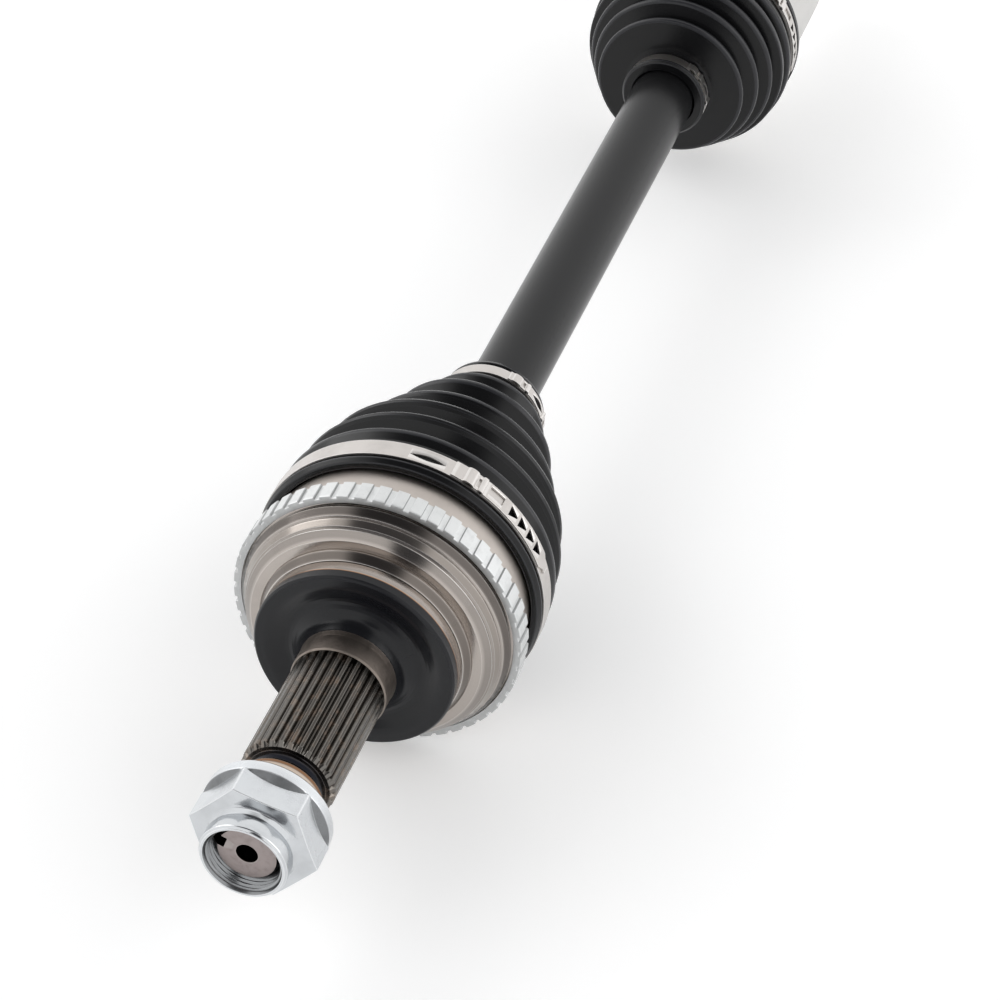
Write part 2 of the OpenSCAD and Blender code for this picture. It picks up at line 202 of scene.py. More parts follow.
class StageSettings(bpy.types.PropertyGroup):
    """Camera, floor and light."""

    azimuth: FloatProperty(
        name="Azimuth",
        description="Camera's turn round the axle",
        default=math.radians(18.33),
        subtype="ANGLE",
    )
    elevation: FloatProperty(
        name="Elevation", description="Camera's height angle", default=math.radians(38.70), subtype="ANGLE"
    )
    distance: length("Distance", "Camera's distance from the point it looks at", 1121.0)
    aim_x: length("Aim X", "Point that the camera looks at, across the axle", 29.9)
    aim_y: length("Aim Y", "Point that the camera looks at, along the axle", 65.8)
    aim_z: length("Aim Z", "Point that the camera looks at, above the axle", 29.5)
    lens: FloatProperty(name="Lens", description="Focal length in millimetres", default=127.29, min=20.0)
    daylight: FloatProperty(
        name="Tent light", description="Strength of the white tent", default=1.15, min=0.0
    )
    floor: colour("Floor", "Pale floor", (0.94, 0.94, 0.94))


SETTINGS = {
    "axle_housing_sizes": HousingSizes,
    "axle_nut_sizes": NutSizes,
    "axle_tone_ring_sizes": ToneRingSizes,
    "axle_boot_sizes": BootSizes,
    "axle_clamp_sizes": ClampSizes,
    "axle_tripod_sizes": TripodSizes,
    "axle_finish_colours": FinishColours,
    "axle_stage_settings": StageSettings,
}


def settings(name):
    """The scene's property group of that name."""
    return getattr(bpy.context.scene, name)


def mm(value):
    """A size property's value in millimetres."""
    return value / MM


# Outlines and turned pieces


class Corner(NamedTuple):
    """A corner of a turned outline: where it is, how it is rounded, what finish follows it, its section."""

    y: float
    r: float
    round: float = 0.0
    finish: int = 0
    section: Optional[Callable] = None


# Distance from a rounded corner to the extra point that keeps its bright edge, worn and with painted
# highlight, narrow, in millimetres
GUARD = 0.25


def stretch_stops(a, b, longest):
    """Where to cut the straight stretch from a to b, as parts of its length."""
    run = math.hypot(b.y - a.y, b.r - a.r)
    count = math.ceil(run / longest) if longest else 1
    stops = {k / count for k in range(1, count)}
    if run > GUARD * 4 and a.section is b.section:
        stops.update((GUARD / run, 1 - GUARD / run))
    return sorted(stops)


def arc_steps(corners, closed, longest=0.0):
    """The outline's points with each corner rounded, and long stretches cut to no more than longest."""
    arc_parts = 4
    # Two rounded corners never use up the stretch between them
    most = 0.48
    points = []
    for i, corner in enumerate(corners):
        here = Vector((corner.y, corner.r))
        ends = not closed and i in (0, len(corners) - 1)
        before, after = corners[i - 1], corners[(i + 1) % len(corners)]
        into = Vector((before.y, before.r)) - here
        out = Vector((after.y, after.r)) - here
        if ends or corner.round <= 0 or min(into.length, out.length) < 1e-4:
            points.append(corner)
            continue
        half = into.angle(out) / 2
        reach = corner.round / max(math.tan(half), 0.05)
        reach = min(reach, into.length * most, out.length * most)
        first = here + into.normalized() * reach
        last = here + out.normalized() * reach
        for k in range(arc_parts + 1):
            t = k / arc_parts
            p = first * (1 - t) ** 2 + here * 2 * t * (1 - t) + last * t * t
            # The first arc point still belongs to the stretch that leads to the corner
            side = before.finish if t < 0.5 else corner.finish
            points.append(Corner(p.x, p.y, 0, side, corner.section))
    cut = []
    for a, b in zip(points, points[1:] + points[:1]):
        cut.append(a)
        if not closed and b is points[0]:
            break
        for t in stretch_stops(a, b, longest):
            cut.append(Corner(a.y + (b.y - a.y) * t, a.r + (b.r - a.r) * t, 0, a.finish, a.section))
    return cut


def mesh_object(name, verts, faces, finishes=None):
    """A new object, its faces turned outwards, with a finish number on each face."""
    mesh = bpy.data.meshes.new(name)
    mesh.from_pydata(verts, [], faces)
    if finishes:
        mesh.polygons.foreach_set("material_index", finishes)
    build = bmesh.new()
    build.from_mesh(mesh)
    bmesh.ops.remove_doubles(build, verts=build.verts, dist=1e-7)
    bmesh.ops.recalc_face_normals(build, faces=build.faces)
    build.to_mesh(mesh)
    build.free()
    piece = bpy.data.objects.new(name, mesh)
    bpy.context.scene.collection.objects.link(piece)
    return piece


def around_axle(angle, y, r):
    """The point at that angle from +Z towards +X, position and radius, all in millimetres."""
    return (r * math.sin(angle) * MM, y * MM, r * math.cos(angle) * MM)


def turned(name, corners, around=180, closed=True, longest=0.0):
    """A piece turned about the axle. A corner with a section is shaped round the axle by it."""
    points = arc_steps(corners, closed, longest)
    verts, rows = [], []
    for p in points:
        if p.r < 1e-6:
            rows.append([len(verts)])
            verts.append(around_axle(0, p.y, 0))
            continue
        rows.append(list(range(len(verts), len(verts) + around)))
        for k in range(around):
            angle = TURN * k / around
            radius = p.section(angle, p.y, p.r) if p.section else p.r
            verts.append(around_axle(angle, p.y, radius))
    faces, finishes = [], []
    last = len(rows) if closed else len(rows) - 1
    for i in range(last):
        a, b = rows[i], rows[(i + 1) % len(rows)]
        if len(a) == 1 and len(b) == 1:
            continue
        for k in range(around):
            n = (k + 1) % around
            corner_points = [a[k % len(a)], a[n % len(a)], b[n % len(b)], b[k % len(b)]]
            faces.append(list(dict.fromkeys(corner_points)))
            finishes.append(points[i].finish)
    return mesh_object(name, verts, faces, finishes)


# An outward bend that gets the full edge wear and painted highlight
FULLY_WORN_AND_LIT = math.radians(40)


def apply_modifiers(piece):
    """Turns what the piece's modifiers make into its mesh."""
    ready = piece.evaluated_get(bpy.context.evaluated_depsgraph_get())
    final = bpy.data.meshes.new_from_object(ready)
    piece.modifiers.clear()
    piece.data = final


def settle(piece, sharp=30.0, bevel=0.0, bevel_angle=35.0, steps=2):
    """Bevels sharp edges if asked, applies every modifier, marks outward edges for wear and painted
    highlight, and sets the shading.
    """
    if bevel:
        rounding = piece.modifiers.new("rounding", "BEVEL")
        rounding.width = bevel * MM
        rounding.segments = steps
        rounding.limit_method = "ANGLE"
        rounding.angle_limit = math.radians(bevel_angle)
        rounding.use_clamp_overlap = True
    if piece.modifiers:
        apply_modifiers(piece)
    mesh = piece.data
    build = bmesh.new()
    build.from_mesh(mesh)
    worn_and_lit = []
    for v in build.verts:
        bends = [e.calc_face_angle_signed(0.0) for e in v.link_edges if e.is_manifold]
        worn_and_lit.append(min(1.0, max([0.0, *bends]) / FULLY_WORN_AND_LIT))
    build.free()
    edge = mesh.attributes.get("edge") or mesh.attributes.new("edge", "FLOAT", "POINT")
    edge.data.foreach_set("value", worn_and_lit)
    mesh.shade_smooth()
    mesh.set_sharp_from_angle(angle=math.radians(sharp))
    return piece


def finish_with(piece, *materials):
    """Gives a new piece its materials, in the order of its finish numbers. It comes before settle()."""
    for material in materials:
        piece.data.materials.append(material)
    return piece


# Sections


def splined(teeth, depth):
    """Straight teeth with flat lands: the section of a splined bar."""

    def section(angle, _y, r):
        along = (angle * teeth / TURN) % 1.0
        off_land = abs(along - 0.5) * 2
        # 0 on the land, 1 at the bottom of the gap
        down = min(1.0, max(0.0, (off_land - 0.4) / 0.38))
        return r - depth * down

    return section


def lobed(count, distance, radius, softness=0.0):
    """Round lobes about the axle, where they reach further out than the plain radius."""

    def section(angle, _y, r):
        pitch = TURN / count
        off = (angle + pitch / 2) % pitch - pitch / 2
        under = radius**2 - (distance * math.sin(off)) ** 2
        lobe = distance * math.cos(off) + math.sqrt(under) if under > 0 else 0.0
        if softness:
            return (lobe + r + math.sqrt((lobe - r) ** 2 + softness**2)) / 2
        return max(lobe, r)

    return section


def threaded(pitch, depth, start):
    """A screw thread cut outwards into a bore, with V-shaped turns."""

    def section(angle, y, r):
        along = ((y - start) / pitch - angle / TURN) % 1.0
        return r - depth * (1 - abs(along * 2 - 1))

    return section


# Shader building blocks


class Nodes:
    """Makes nodes in one tree: each input is given a value, or a socket to be linked from."""

    def __init__(self, tree):
        self.tree = tree
        tree.nodes.clear()

    def add(self, kind, inputs=None, **properties):
        node = self.tree.nodes.new(kind)
        for key, value in properties.items():
            setattr(node, key, value)
        for key, value in (inputs or {}).items():
            if isinstance(value, bpy.types.NodeSocket):
                self.tree.links.new(value, node.inputs[key])
            else:
                node.inputs[key].default_value = value
        return node

    def maths(self, operation, *values, clamp=False):
        inputs = dict(enumerate(values))
        return self.add("ShaderNodeMath", inputs, operation=operation, use_clamp=clamp).outputs[0]

    def mix(self, factor, a, b):
        """Two colours mixed by a factor from 0 to 1."""
        node = self.add("ShaderNodeMix", data_type="RGBA")
        for index, value in ((0, factor), (6, a), (7, b)):
            if isinstance(value, bpy.types.NodeSocket):
                self.tree.links.new(value, node.inputs[index])
            elif index:
                node.inputs[index].default_value = (*value, 1.0)
            else:
                node.inputs[index].default_value = value
        return node.outputs[2]

    def ranged(self, value, low, high):
        """0 where the value is at low or under, 1 at high or over, and smooth between them."""
        inputs = {"Value": value, "From Min": low, "From Max": high}
        return self.add("ShaderNodeMapRange", inputs, interpolation_type="SMOOTHSTEP").outputs["Result"]


def group(name, inputs, outputs):
    """A new shader node group with float sockets, and the builder of its tree."""
    tree = bpy.data.node_groups.new(name, "ShaderNodeTree")
    for name_of_input, default in inputs.items():
        socket = tree.interface.new_socket(name_of_input, in_out="INPUT", socket_type="NodeSocketFloat")
        socket.default_value = default
    for name_of_output in outputs:
        tree.interface.new_socket(name_of_output, in_out="OUTPUT", socket_type="NodeSocketFloat")
    nodes = Nodes(tree)
    return tree, nodes, nodes.add("NodeGroupInput").outputs


def once(build):
    """Builds a node group the first time it is asked for, then returns the same one."""
    made = {}

    def get():
        if "tree" not in made:
            made["tree"] = build()
        return made["tree"]

    return get


@once
def lathe_lines():
    """Fine rings that a lathe tool leaves, on faces and round sides alike."""
    tree, nodes, given = group("lathe lines", {"Spacing mm": 0.3, "Breakup": 0.3}, ("Lines", "Bands"))
    place = nodes.add("ShaderNodeTexCoord").outputs["Object"]
    split = nodes.add("ShaderNodeSeparateXYZ", {0: place})
    x_squared = nodes.maths("POWER", split.outputs[0], 2.0)
    z_squared = nodes.maths("POWER", split.outputs[2], 2.0)
    radius = nodes.maths("SQRT", nodes.maths("ADD", x_squared, z_squared))
    per_metre = nodes.maths("DIVIDE", 1.0 / MM, given["Spacing mm"])
    along = nodes.maths("MULTIPLY", split.outputs[1], per_metre)
    out = nodes.maths("MULTIPLY", radius, per_metre)
    rings = nodes.add("ShaderNodeCombineXYZ", {0: along, 1: out})
    fine = nodes.add("ShaderNodeTexNoise", {"Vector": rings.outputs[0], "Scale": 1.0, "Detail": 2.0})
    broad = nodes.add("ShaderNodeTexNoise", {"Vector": rings.outputs[0], "Scale": 0.06, "Detail": 1.0})
    patch = nodes.add("ShaderNodeTexNoise", {"Vector": place, "Scale": 90.0, "Detail": 3.0})
    weight = nodes.maths("SUBTRACT", 1.0, nodes.maths("MULTIPLY", patch.outputs[0], given["Breakup"]))
    lines = nodes.maths("MULTIPLY", fine.outputs[0], weight)
    nodes.add("NodeGroupOutput", {"Lines": lines, "Bands": broad.outputs[0]})
    return tree


@once
def edge_wear_and_highlight():
    """Where the piece's outer edges are painted bright: partly rubbed by handling, partly a painted highlight
    where they catch the light.
    """
    tree, nodes, given = group("edge wear", {"Amount": 0.6, "Breakup": 0.5}, ("Mask",))
    edge = nodes.add("ShaderNodeAttribute", attribute_name="edge").outputs["Fac"]
    place = nodes.add("ShaderNodeTexCoord").outputs["Object"]
    noise = nodes.add("ShaderNodeTexNoise", {"Vector": place, "Scale": 700.0, "Detail": 3.0}).outputs[0]
    kept = nodes.maths("SUBTRACT", 1.0, nodes.maths("MULTIPLY", noise, given["Breakup"]))
    mask = nodes.maths("MULTIPLY", nodes.ranged(edge, 0.09, 0.32), kept)
    nodes.add("NodeGroupOutput", {"Mask": nodes.maths("MULTIPLY", mask, given["Amount"], clamp=True)})
    return tree


@once
def mottle():
    """Cloudy patches with finer ones in them, for stains, scale and uneven gloss."""
    tree, nodes, given = group("mottle", {"Size mm": 4.0, "Cover": 0.5, "Softness": 0.15}, ("Mask", "Cloud"))
    place = nodes.add("ShaderNodeTexCoord").outputs["Object"]
    scale = nodes.maths("DIVIDE", 1.0 / MM, given["Size mm"])
    noise = nodes.add(
        "ShaderNodeTexNoise", {"Vector": place, "Scale": scale, "Detail": 5.0, "Roughness": 0.6}
    ).outputs[0]
    level = nodes.maths("SUBTRACT", 1.0, given["Cover"])
    low = nodes.maths("SUBTRACT", level, given["Softness"])
    high = nodes.maths("ADD", level, given["Softness"])
    nodes.add("NodeGroupOutput", {"Mask": nodes.ranged(noise, low, high), "Cloud": noise})
    return tree


@once
def grain():
    """Fine grains of a cast, sintered or moulded surface."""
    tree, nodes, given = group("grain", {"Size mm": 0.3}, ("Height", "Specks"))
    place = nodes.add("ShaderNodeTexCoord").outputs["Object"]
    scale = nodes.maths("DIVIDE", 1.0 / MM, given["Size mm"])
    noise = nodes.add("ShaderNodeTexNoise", {"Vector": place, "Scale": scale, "Detail": 2.0}).outputs[0]
    cells = nodes.add("ShaderNodeTexVoronoi", {"Vector": place, "Scale": scale}).outputs["Distance"]
    height = nodes.maths("ADD", nodes.maths("MULTIPLY", noise, 0.6), nodes.maths("MULTIPLY", cells, 0.4))
    nodes.add("NodeGroupOutput", {"Height": height, "Specks": nodes.ranged(noise, 0.58, 0.72)})
    return tree


class Finish(NamedTuple):
    """What a finish is made of: its colours, gloss and texture, each in plain numbers."""

    base: tuple
    # Colour of outer edges: rubbed bright by wear, and a painted highlight where they catch the light
    bright: tuple
    stain: tuple
    metallic: float = 1.0
    rough: float = 0.3
    rough_spread: float = 0.1
    wear: float = 0.5
    stain_size: float = 6.0
    stain_cover: float = 0.4
    stain_amount: float = 0.3
    line_spacing: float = 0.3
    line_height: float = 0.0
    line_shade: float = 0.0
    band_shade: float = 0.0
    grain_size: float = 0.3
    grain_height: float = 0.0
    speck_shade: float = 0.0
    specular: float = 0.5


def surface(name, base, bright, stain, tint=None, **looks):
    """The material of one finish. tint(nodes, colour) may lay bands of heat colour or painted shade over its
    base colour.
    """
    look = Finish(base, bright, stain, **looks)
    material = bpy.data.materials.new(name)
    material.use_nodes = True
    nodes = Nodes(material.node_tree)
    lines = nodes.add("ShaderNodeGroup", node_tree=lathe_lines())
    lines.inputs["Spacing mm"].default_value = look.line_spacing
    worn_and_lit = nodes.add("ShaderNodeGroup", node_tree=edge_wear_and_highlight())
    worn_and_lit.inputs["Amount"].default_value = look.wear
    stains = nodes.add("ShaderNodeGroup", node_tree=mottle())
    stains.inputs["Size mm"].default_value = look.stain_size
    stains.inputs["Cover"].default_value = look.stain_cover
    grains = nodes.add("ShaderNodeGroup", node_tree=grain())
    grains.inputs["Size mm"].default_value = look.grain_size

    stain_mask = nodes.maths("MULTIPLY", stains.outputs["Mask"], look.stain_amount)
    tone = nodes.mix(stain_mask, look.base, look.stain)
    lined = nodes.maths("MULTIPLY", lines.outputs["Lines"], look.line_shade)
    tone = nodes.mix(lined, tone, look.stain)
    banded = nodes.maths("MULTIPLY", nodes.ranged(lines.outputs["Bands"], 0.45, 0.62), look.band_shade)
    tone = nodes.mix(banded, tone, look.stain)
    specks = nodes.maths("MULTIPLY", grains.outputs["Specks"], look.speck_shade)
    tone = nodes.mix(specks, tone, look.stain)
    if tint:
        tone = tint(nodes, tone)
    # Outer edges take the bright colour: partly wear, partly a painted highlight
    tone = nodes.mix(worn_and_lit.outputs["Mask"], tone, look.bright)

    spread = nodes.maths("SUBTRACT", stains.outputs["Cloud"], 0.5)
    rough = nodes.maths("ADD", nodes.maths("MULTIPLY", spread, look.rough_spread * 4), look.rough, clamp=True)
    rise = nodes.maths(
        "ADD",
        nodes.maths("MULTIPLY", lines.outputs["Lines"], look.line_height),
        nodes.maths("MULTIPLY", grains.outputs["Height"], look.grain_height),
    )
    bump = nodes.add("ShaderNodeBump", {"Height": rise, "Distance": MM, "Strength": 1.0})
    shader = nodes.add(
        "ShaderNodeBsdfPrincipled",
        {"Base Color": tone, "Roughness": rough, "Normal": bump.outputs[0], "Metallic": look.metallic},
    )
    shader.inputs["Specular IOR Level"].default_value = look.specular
    nodes.add("ShaderNodeOutputMaterial", {"Surface": shader.outputs[0]})
    return material


def along_axle(nodes):
    """Position along the axle in millimetres, as a socket."""
    place = nodes.add("ShaderNodeTexCoord").outputs["Object"]
    return nodes.maths("DIVIDE", nodes.add("ShaderNodeSeparateXYZ", {0: place}).outputs[1], MM)


def heat_and_shade_bands(*bands):
    """Bands of colour along the axle, of heat colours or of painted shade and reflection: each is (from, to,
    colour), soft at both ends.
    """

    def tint(nodes, tone):
        y = along_axle(nodes)
        for start, end, colour_of_band in bands:
            soft = min(1.0, (end - start) / 2)
            rise = nodes.ranged(y, start, start + soft)
            fall = nodes.ranged(y, end - soft, end)
            mask = nodes.maths("MULTIPLY", rise, nodes.maths("SUBTRACT", 1.0, fall))
            tone = nodes.mix(mask, tone, colour_of_band)
        return tone

    return tint


# Finishes

# Bright edge colour of the steel: wear and painted highlight
WHITE_STEEL = (0.88, 0.87, 0.85)


def set_colour(name):
    """A finish's colour, as the settings hold it."""
    return tuple(getattr(settings("axle_finish_colours"), name))


def shade(value, factor):
    """A colour made darker or lighter."""
    return tuple(min(1.0, c * factor) for c in value)


def turned_steel():
    base = set_colour("turned")
    # Blued edge of the flange's scale, then painted dark reflections on three of the steps
    bands = heat_and_shade_bands(
        (SHOULDER_Y + 3.3, SHOULDER_Y + 4.3, (0.40, 0.20, 0.09)),
        (SHOULDER_Y + 7.7, SHOULDER_Y + 11.2, (0.17, 0.15, 0.135)),
        (SHOULDER_Y + 14.6, SHOULDER_Y + 17.4, (0.30, 0.27, 0.245)),
        (SHOULDER_Y + 17.8, SHOULDER_Y + 21.2, (0.14, 0.125, 0.115)),
    )
    return surface(
        "turned_steel", base, WHITE_STEEL, shade(base, 0.4), rough=0.17, rough_spread=0.03, wear=0.85,
        stain_size=25.0, stain_amount=0.3, line_spacing=0.2, line_height=0.012, line_shade=0.3,
        band_shade=0.6, tint=bands,
    )


def bell_steel():
    base = set_colour("turned")
    return surface(
        "bell_steel", shade(base, 1.1), WHITE_STEEL, shade(base, 0.6), rough=0.38, rough_spread=0.05,
        wear=0.6, stain_size=18.0, stain_amount=0.2, line_spacing=0.25, line_height=0.015, line_shade=0.12,
    )


def furnace_scale():
    base = set_colour("scale")
    return surface(
        "furnace_scale", base, shade(base, 2.4), shade(base, 0.6), metallic=0.0, rough=0.25,
        rough_spread=0.01, wear=0.3, stain_size=22.0, stain_amount=0.4, grain_size=0.5, grain_height=0.001,
        specular=0.3,
    )


def spline_steel():
    base = set_colour("spline")
    return surface(
        "spline_steel", base, (0.46, 0.44, 0.41), (0.26, 0.18, 0.13), rough=0.24, rough_spread=0.08,
        wear=0.3, stain_size=4.5, stain_cover=0.38, stain_amount=0.5, grain_size=0.35, grain_height=0.015,
    )


def journal_steel():
    base = set_colour("neck")
    return surface(
        "journal_steel", base, (0.36, 0.31, 0.27), shade(base, 0.45), rough=0.42, rough_spread=0.1,
        wear=0.35, stain_size=3.0, stain_amount=0.45, line_spacing=0.4, line_height=0.03, grain_size=0.4,
        grain_height=0.04,
    )


def heat_tinted_steel():
    # The dark base paints shade into the centre hole, the stake notch and the thread's end
    base = (0.055, 0.052, 0.055)
    # Heat colours behind the nut; the pale first band is copper heat colour with a painted highlight on it
    bands = heat_and_shade_bands(
        (NUT_BACK - 2.0, NUT_BACK + 7.4, (0.50, 0.42, 0.35)),
        (NUT_BACK + 6.6, NUT_BACK + 8.4, (0.24, 0.125, 0.065)),
        (NUT_BACK + 7.8, NUT_BACK + 9.8, (0.06, 0.035, 0.025)),
        (NUT_BACK + 9.2, NUT_BACK + 12.0, (0.012, 0.013, 0.018)),
    )
    return surface(
        "heat_tinted_steel", base, (0.45, 0.36, 0.28), (0.02, 0.02, 0.024), rough=0.2, rough_spread=0.08,
        wear=0.5, stain_size=4.0, stain_amount=0.4, line_spacing=0.4, line_height=0.02, tint=bands,
    )


def stub_face_steel():
    return surface(
        "stub_face_steel", (0.36, 0.31, 0.30), (0.55, 0.52, 0.5), (0.16, 0.14, 0.135), metallic=0.6,
        rough=0.5, wear=0.5, stain_size=2.0, stain_amount=0.25, line_spacing=0.3, line_height=0.02,
        grain_size=0.25, grain_height=0.02,
    )


def zinc_plate():
    base = set_colour("zinc")
    return surface(
        "zinc_plate", base, (0.9, 0.91, 0.92), shade(base, 0.55), rough=0.26, rough_spread=0.05, wear=0.6,
        stain_size=9.0, stain_amount=0.14, grain_size=0.45, grain_height=0.016,
    )


def zinc_turned():
    base = set_colour("zinc")
    return surface(
        "zinc_turned", shade(base, 0.92), (0.9, 0.91, 0.92), shade(base, 0.45), rough=0.12,
        rough_spread=0.03, wear=0.6, stain_size=9.0, stain_amount=0.2, line_spacing=0.3, line_height=0.006,
        line_shade=0.1,
    )


def zinc_thread():
    # Painted shade: the thread inside the nut's bore is darker than the plate
    base = set_colour("zinc")
    return surface(
        "zinc_thread", shade(base, 0.4), shade(base, 0.8), shade(base, 0.25), rough=0.24, rough_spread=0.02,
        wear=0.4, stain_size=6.0, stain_amount=0.15,
    )


def zinc_forged():
    # Forged face of the flange, its colour darkened for a painted dark reflection
    base = set_colour("zinc")
    return surface(
        "zinc_forged", shade(base, 0.34), base, shade(base, 0.14), rough=0.36, rough_spread=0.08, wear=0.7,
        stain_size=4.0, stain_amount=0.3, grain_size=0.4, grain_height=0.1, speck_shade=0.4,
    )


def sintered_zinc():
    base = set_colour("sintered")
    return surface(
        "sintered_zinc", base, (0.85, 0.86, 0.86), shade(base, 0.4), rough=0.36, rough_spread=0.08,
        wear=0.3, stain_size=5.0, stain_cover=0.35, stain_amount=0.22, grain_size=0.3, grain_height=0.04,
        speck_shade=0.18,
    )


def sintered_recess():
    # Painted shade for the teeth's walls and the ring's front face
    base = set_colour("sintered")
    return surface(
        "sintered_recess", shade(base, 0.58), shade(base, 1.1), shade(base, 0.3), rough=0.45,
        rough_spread=0.08, wear=0.5, stain_size=5.0, stain_cover=0.35, stain_amount=0.3, grain_size=0.3,
        grain_height=0.05, speck_shade=0.3,
    )


def boot_rubber():
    base = set_colour("rubber")
    # The bright edge colour paints highlights on the folds' crests
    return surface(
        "boot_rubber", base, shade(base, 12.0), shade(base, 0.5), metallic=0.0, rough=0.25,
        rough_spread=0.03, wear=0.5, stain_size=20.0, stain_amount=0.4, line_spacing=0.8, line_height=0.004,
        grain_size=0.35, grain_height=0.004, specular=0.3,
    )


def clamp_steel():
    base = set_colour("band")
    return surface(
        "clamp_steel", base, (0.90, 0.88, 0.86), shade(base, 0.4), rough=0.32, rough_spread=0.05, wear=0.6,
        stain_size=9.0, stain_amount=0.2, line_spacing=0.18, line_height=0.01, line_shade=0.15,
    )


def shaft_paint():
    base = set_colour("paint")
    return surface(
        "shaft_paint", base, shade(base, 2.5), shade(base, 0.6), metallic=0.0, rough=0.24,
        rough_spread=0.02, wear=0.3, stain_size=30.0, stain_amount=0.3, grain_size=0.9, grain_height=0.006,
        specular=0.3,
    )


def housing_silver():
    base = set_colour("silver")
    return surface(
        "housing_silver", base, (0.88, 0.87, 0.85), shade(base, 0.45), rough=0.34, rough_spread=0.06,
        wear=0.7, stain_size=12.0, stain_amount=0.2, line_spacing=0.3, line_height=0.015, line_shade=0.12,
        grain_size=0.4, grain_height=0.02,
    )


def joint_steel():
    return surface(
        "joint_steel", (0.36, 0.36, 0.37), (0.7, 0.7, 0.71), (0.12, 0.11, 0.1), rough=0.3, wear=0.5,
        stain_size=5.0, stain_amount=0.4, line_spacing=0.25, line_height=0.01, line_shade=0.2,
    )


def bearing_steel():
    return surface(
        "bearing_steel", (0.74, 0.74, 0.76), (0.9, 0.9, 0.91), (0.4, 0.39, 0.38), rough=0.12,
        rough_spread=0.03, wear=0.4, stain_size=4.0, stain_amount=0.15, grain_size=0.2, grain_height=0.002,
    )


def spring_steel():
    return surface(
        "spring_steel", (0.09, 0.09, 0.1), (0.5, 0.5, 0.52), (0.03, 0.03, 0.032), rough=0.36, wear=0.7,
        stain_size=2.5, stain_amount=0.4, grain_size=0.25, grain_height=0.02,
    )


# Wheel end

SHOULDER_Y = 9.5
BALL_JOINT_Y = 47.0
SPLINE_FRONT = -48.2
SPLINE_BACK = -4.0


def housing_outline(sizes):
    """The bell, flange and stub as one outline, from the centre hole's bottom round to the ball cavity."""
    # The tint finish paints shade into the centre hole and onto the thread's end
    face, tint, teeth, neck, scale, steel, bell = range(7)
    disc_r, cavity_r, balls = 33.5, 33.1, 6
    thread_r, spline_r, journal_r = mm(sizes.thread_r), mm(sizes.spline_r), mm(sizes.journal_r)
    depth = mm(sizes.tooth_depth)
    toothed = splined(sizes.spline_teeth, depth)
    hole_r = mm(sizes.centre_hole_r)
    stub = [
        Corner(STUB_END + 9, 0, 0, tint),
        Corner(STUB_END + 8, hole_r, 0.3, tint),
        Corner(STUB_END, hole_r, 0.35, face),
        Corner(STUB_END, thread_r - 2.7, 0.3, tint),
        Corner(STUB_END + 2.2, thread_r, 0.3, tint),
        Corner(NUT_BACK + 0.1, thread_r, 0, tint),
        Corner(NUT_BACK + 0.1, thread_r + 1.8, 0.5, tint),
        Corner(NUT_BACK + 8.2, thread_r + 1.8, 0.8, tint),
        Corner(NUT_BACK + 9.6, thread_r + 0.5, 1.0, tint),
        Corner(SPLINE_FRONT, thread_r + 0.5, 0.4, teeth),
        Corner(SPLINE_FRONT, spline_r - depth, 0, teeth),
        Corner(SPLINE_FRONT + 1.5, spline_r, 0, teeth, toothed),
        Corner(SPLINE_BACK, spline_r, 0, teeth, toothed),
        Corner(SPLINE_BACK, journal_r - 0.4, 0.1, neck),
        Corner(SPLINE_BACK + 0.5, journal_r, 0.2, neck),
    ]
    flange = [
        Corner(SHOULDER_Y - 6.5, journal_r, 3.0, neck),
        Corner(SHOULDER_Y - 4.5, journal_r + 0.2, 4.0, scale),
        Corner(SHOULDER_Y - 0.6, journal_r + 1.6, 5.0, scale),
        Corner(SHOULDER_Y + 3.0, journal_r + 6.3, 6.0, scale),
        Corner(SHOULDER_Y, 28.8, 6.0, scale),
        Corner(SHOULDER_Y, 32.8, 0.7, scale),
        Corner(SHOULDER_Y + 0.9, disc_r, 0.4, scale),
    ]
    steps = [Corner(SHOULDER_Y + 3.8, disc_r, 0, steel)]
    # Each step's start and end past the shoulder, both with their radii, and the floor of its groove
    for start, start_r, end, end_r, floor_r in (
        (4.4, disc_r, 7.3, disc_r, 33.1),
        (8.0, 33.7, 10.8, 35.5, 35.3),
        (11.6, 38.7, 13.9, 41.3, 41.2),
        (14.9, 41.9, 17.1, 43.1, 42.8),
        (18.1, 43.6, 20.7, 45.2, 44.6),
    ):
        steps += [
            Corner(SHOULDER_Y + start, start_r, 0.15, steel),
            Corner(SHOULDER_Y + end, end_r, 0.2, steel),
            Corner(SHOULDER_Y + end + 0.35, end_r, 0.1, steel),
            Corner(SHOULDER_Y + end + 0.45, floor_r, 0.05, steel),
            Corner(SHOULDER_Y + end + 0.7, floor_r, 0.05, steel),
        ]
    steps += [
        Corner(TONE_FRONT + 0.8, 44.6, 0.1, steel),
        Corner(TONE_FRONT + 1.2, TONE_SEAT_R, 0.2, bell),
        Corner(TONE_BACK + 0.3, TONE_SEAT_R, 0.4, bell),
        Corner(TONE_BACK + 1.2, TONE_SEAT_R - 0.6, 0.5, bell),
        Corner(51.0, 44.8, 0.4, bell),
        Corner(52.0, 43.8, 0.3, bell),
        Corner(HOUSING_MOUTH, 43.8, 0.8, bell),
    ]
    cavity = [Corner(HOUSING_MOUTH, 34.5, 0.4, steel, lobed(balls, 25.5, mm(sizes.track_r) + 1.0))]
    for row in range(10):
        # The cavity is a ball, and each track bends in with it
        depth_in = 12.0 - 4.0 * row
        sphere = math.sqrt(cavity_r**2 - depth_in**2)
        bent_in = math.sqrt(mm(sizes.ball_circle_r) ** 2 - depth_in**2)
        tracks = lobed(balls, bent_in, mm(sizes.track_r))
        cavity.append(Corner(BALL_JOINT_Y + depth_in, sphere, 0, steel, tracks if depth_in > -20 else None))
    cavity.append(Corner(BALL_JOINT_Y - 31.0, 9.0, 0, steel))
    cavity.append(Corner(BALL_JOINT_Y - 32.0, 0, 0, steel))
    return stub + flange + steps + cavity


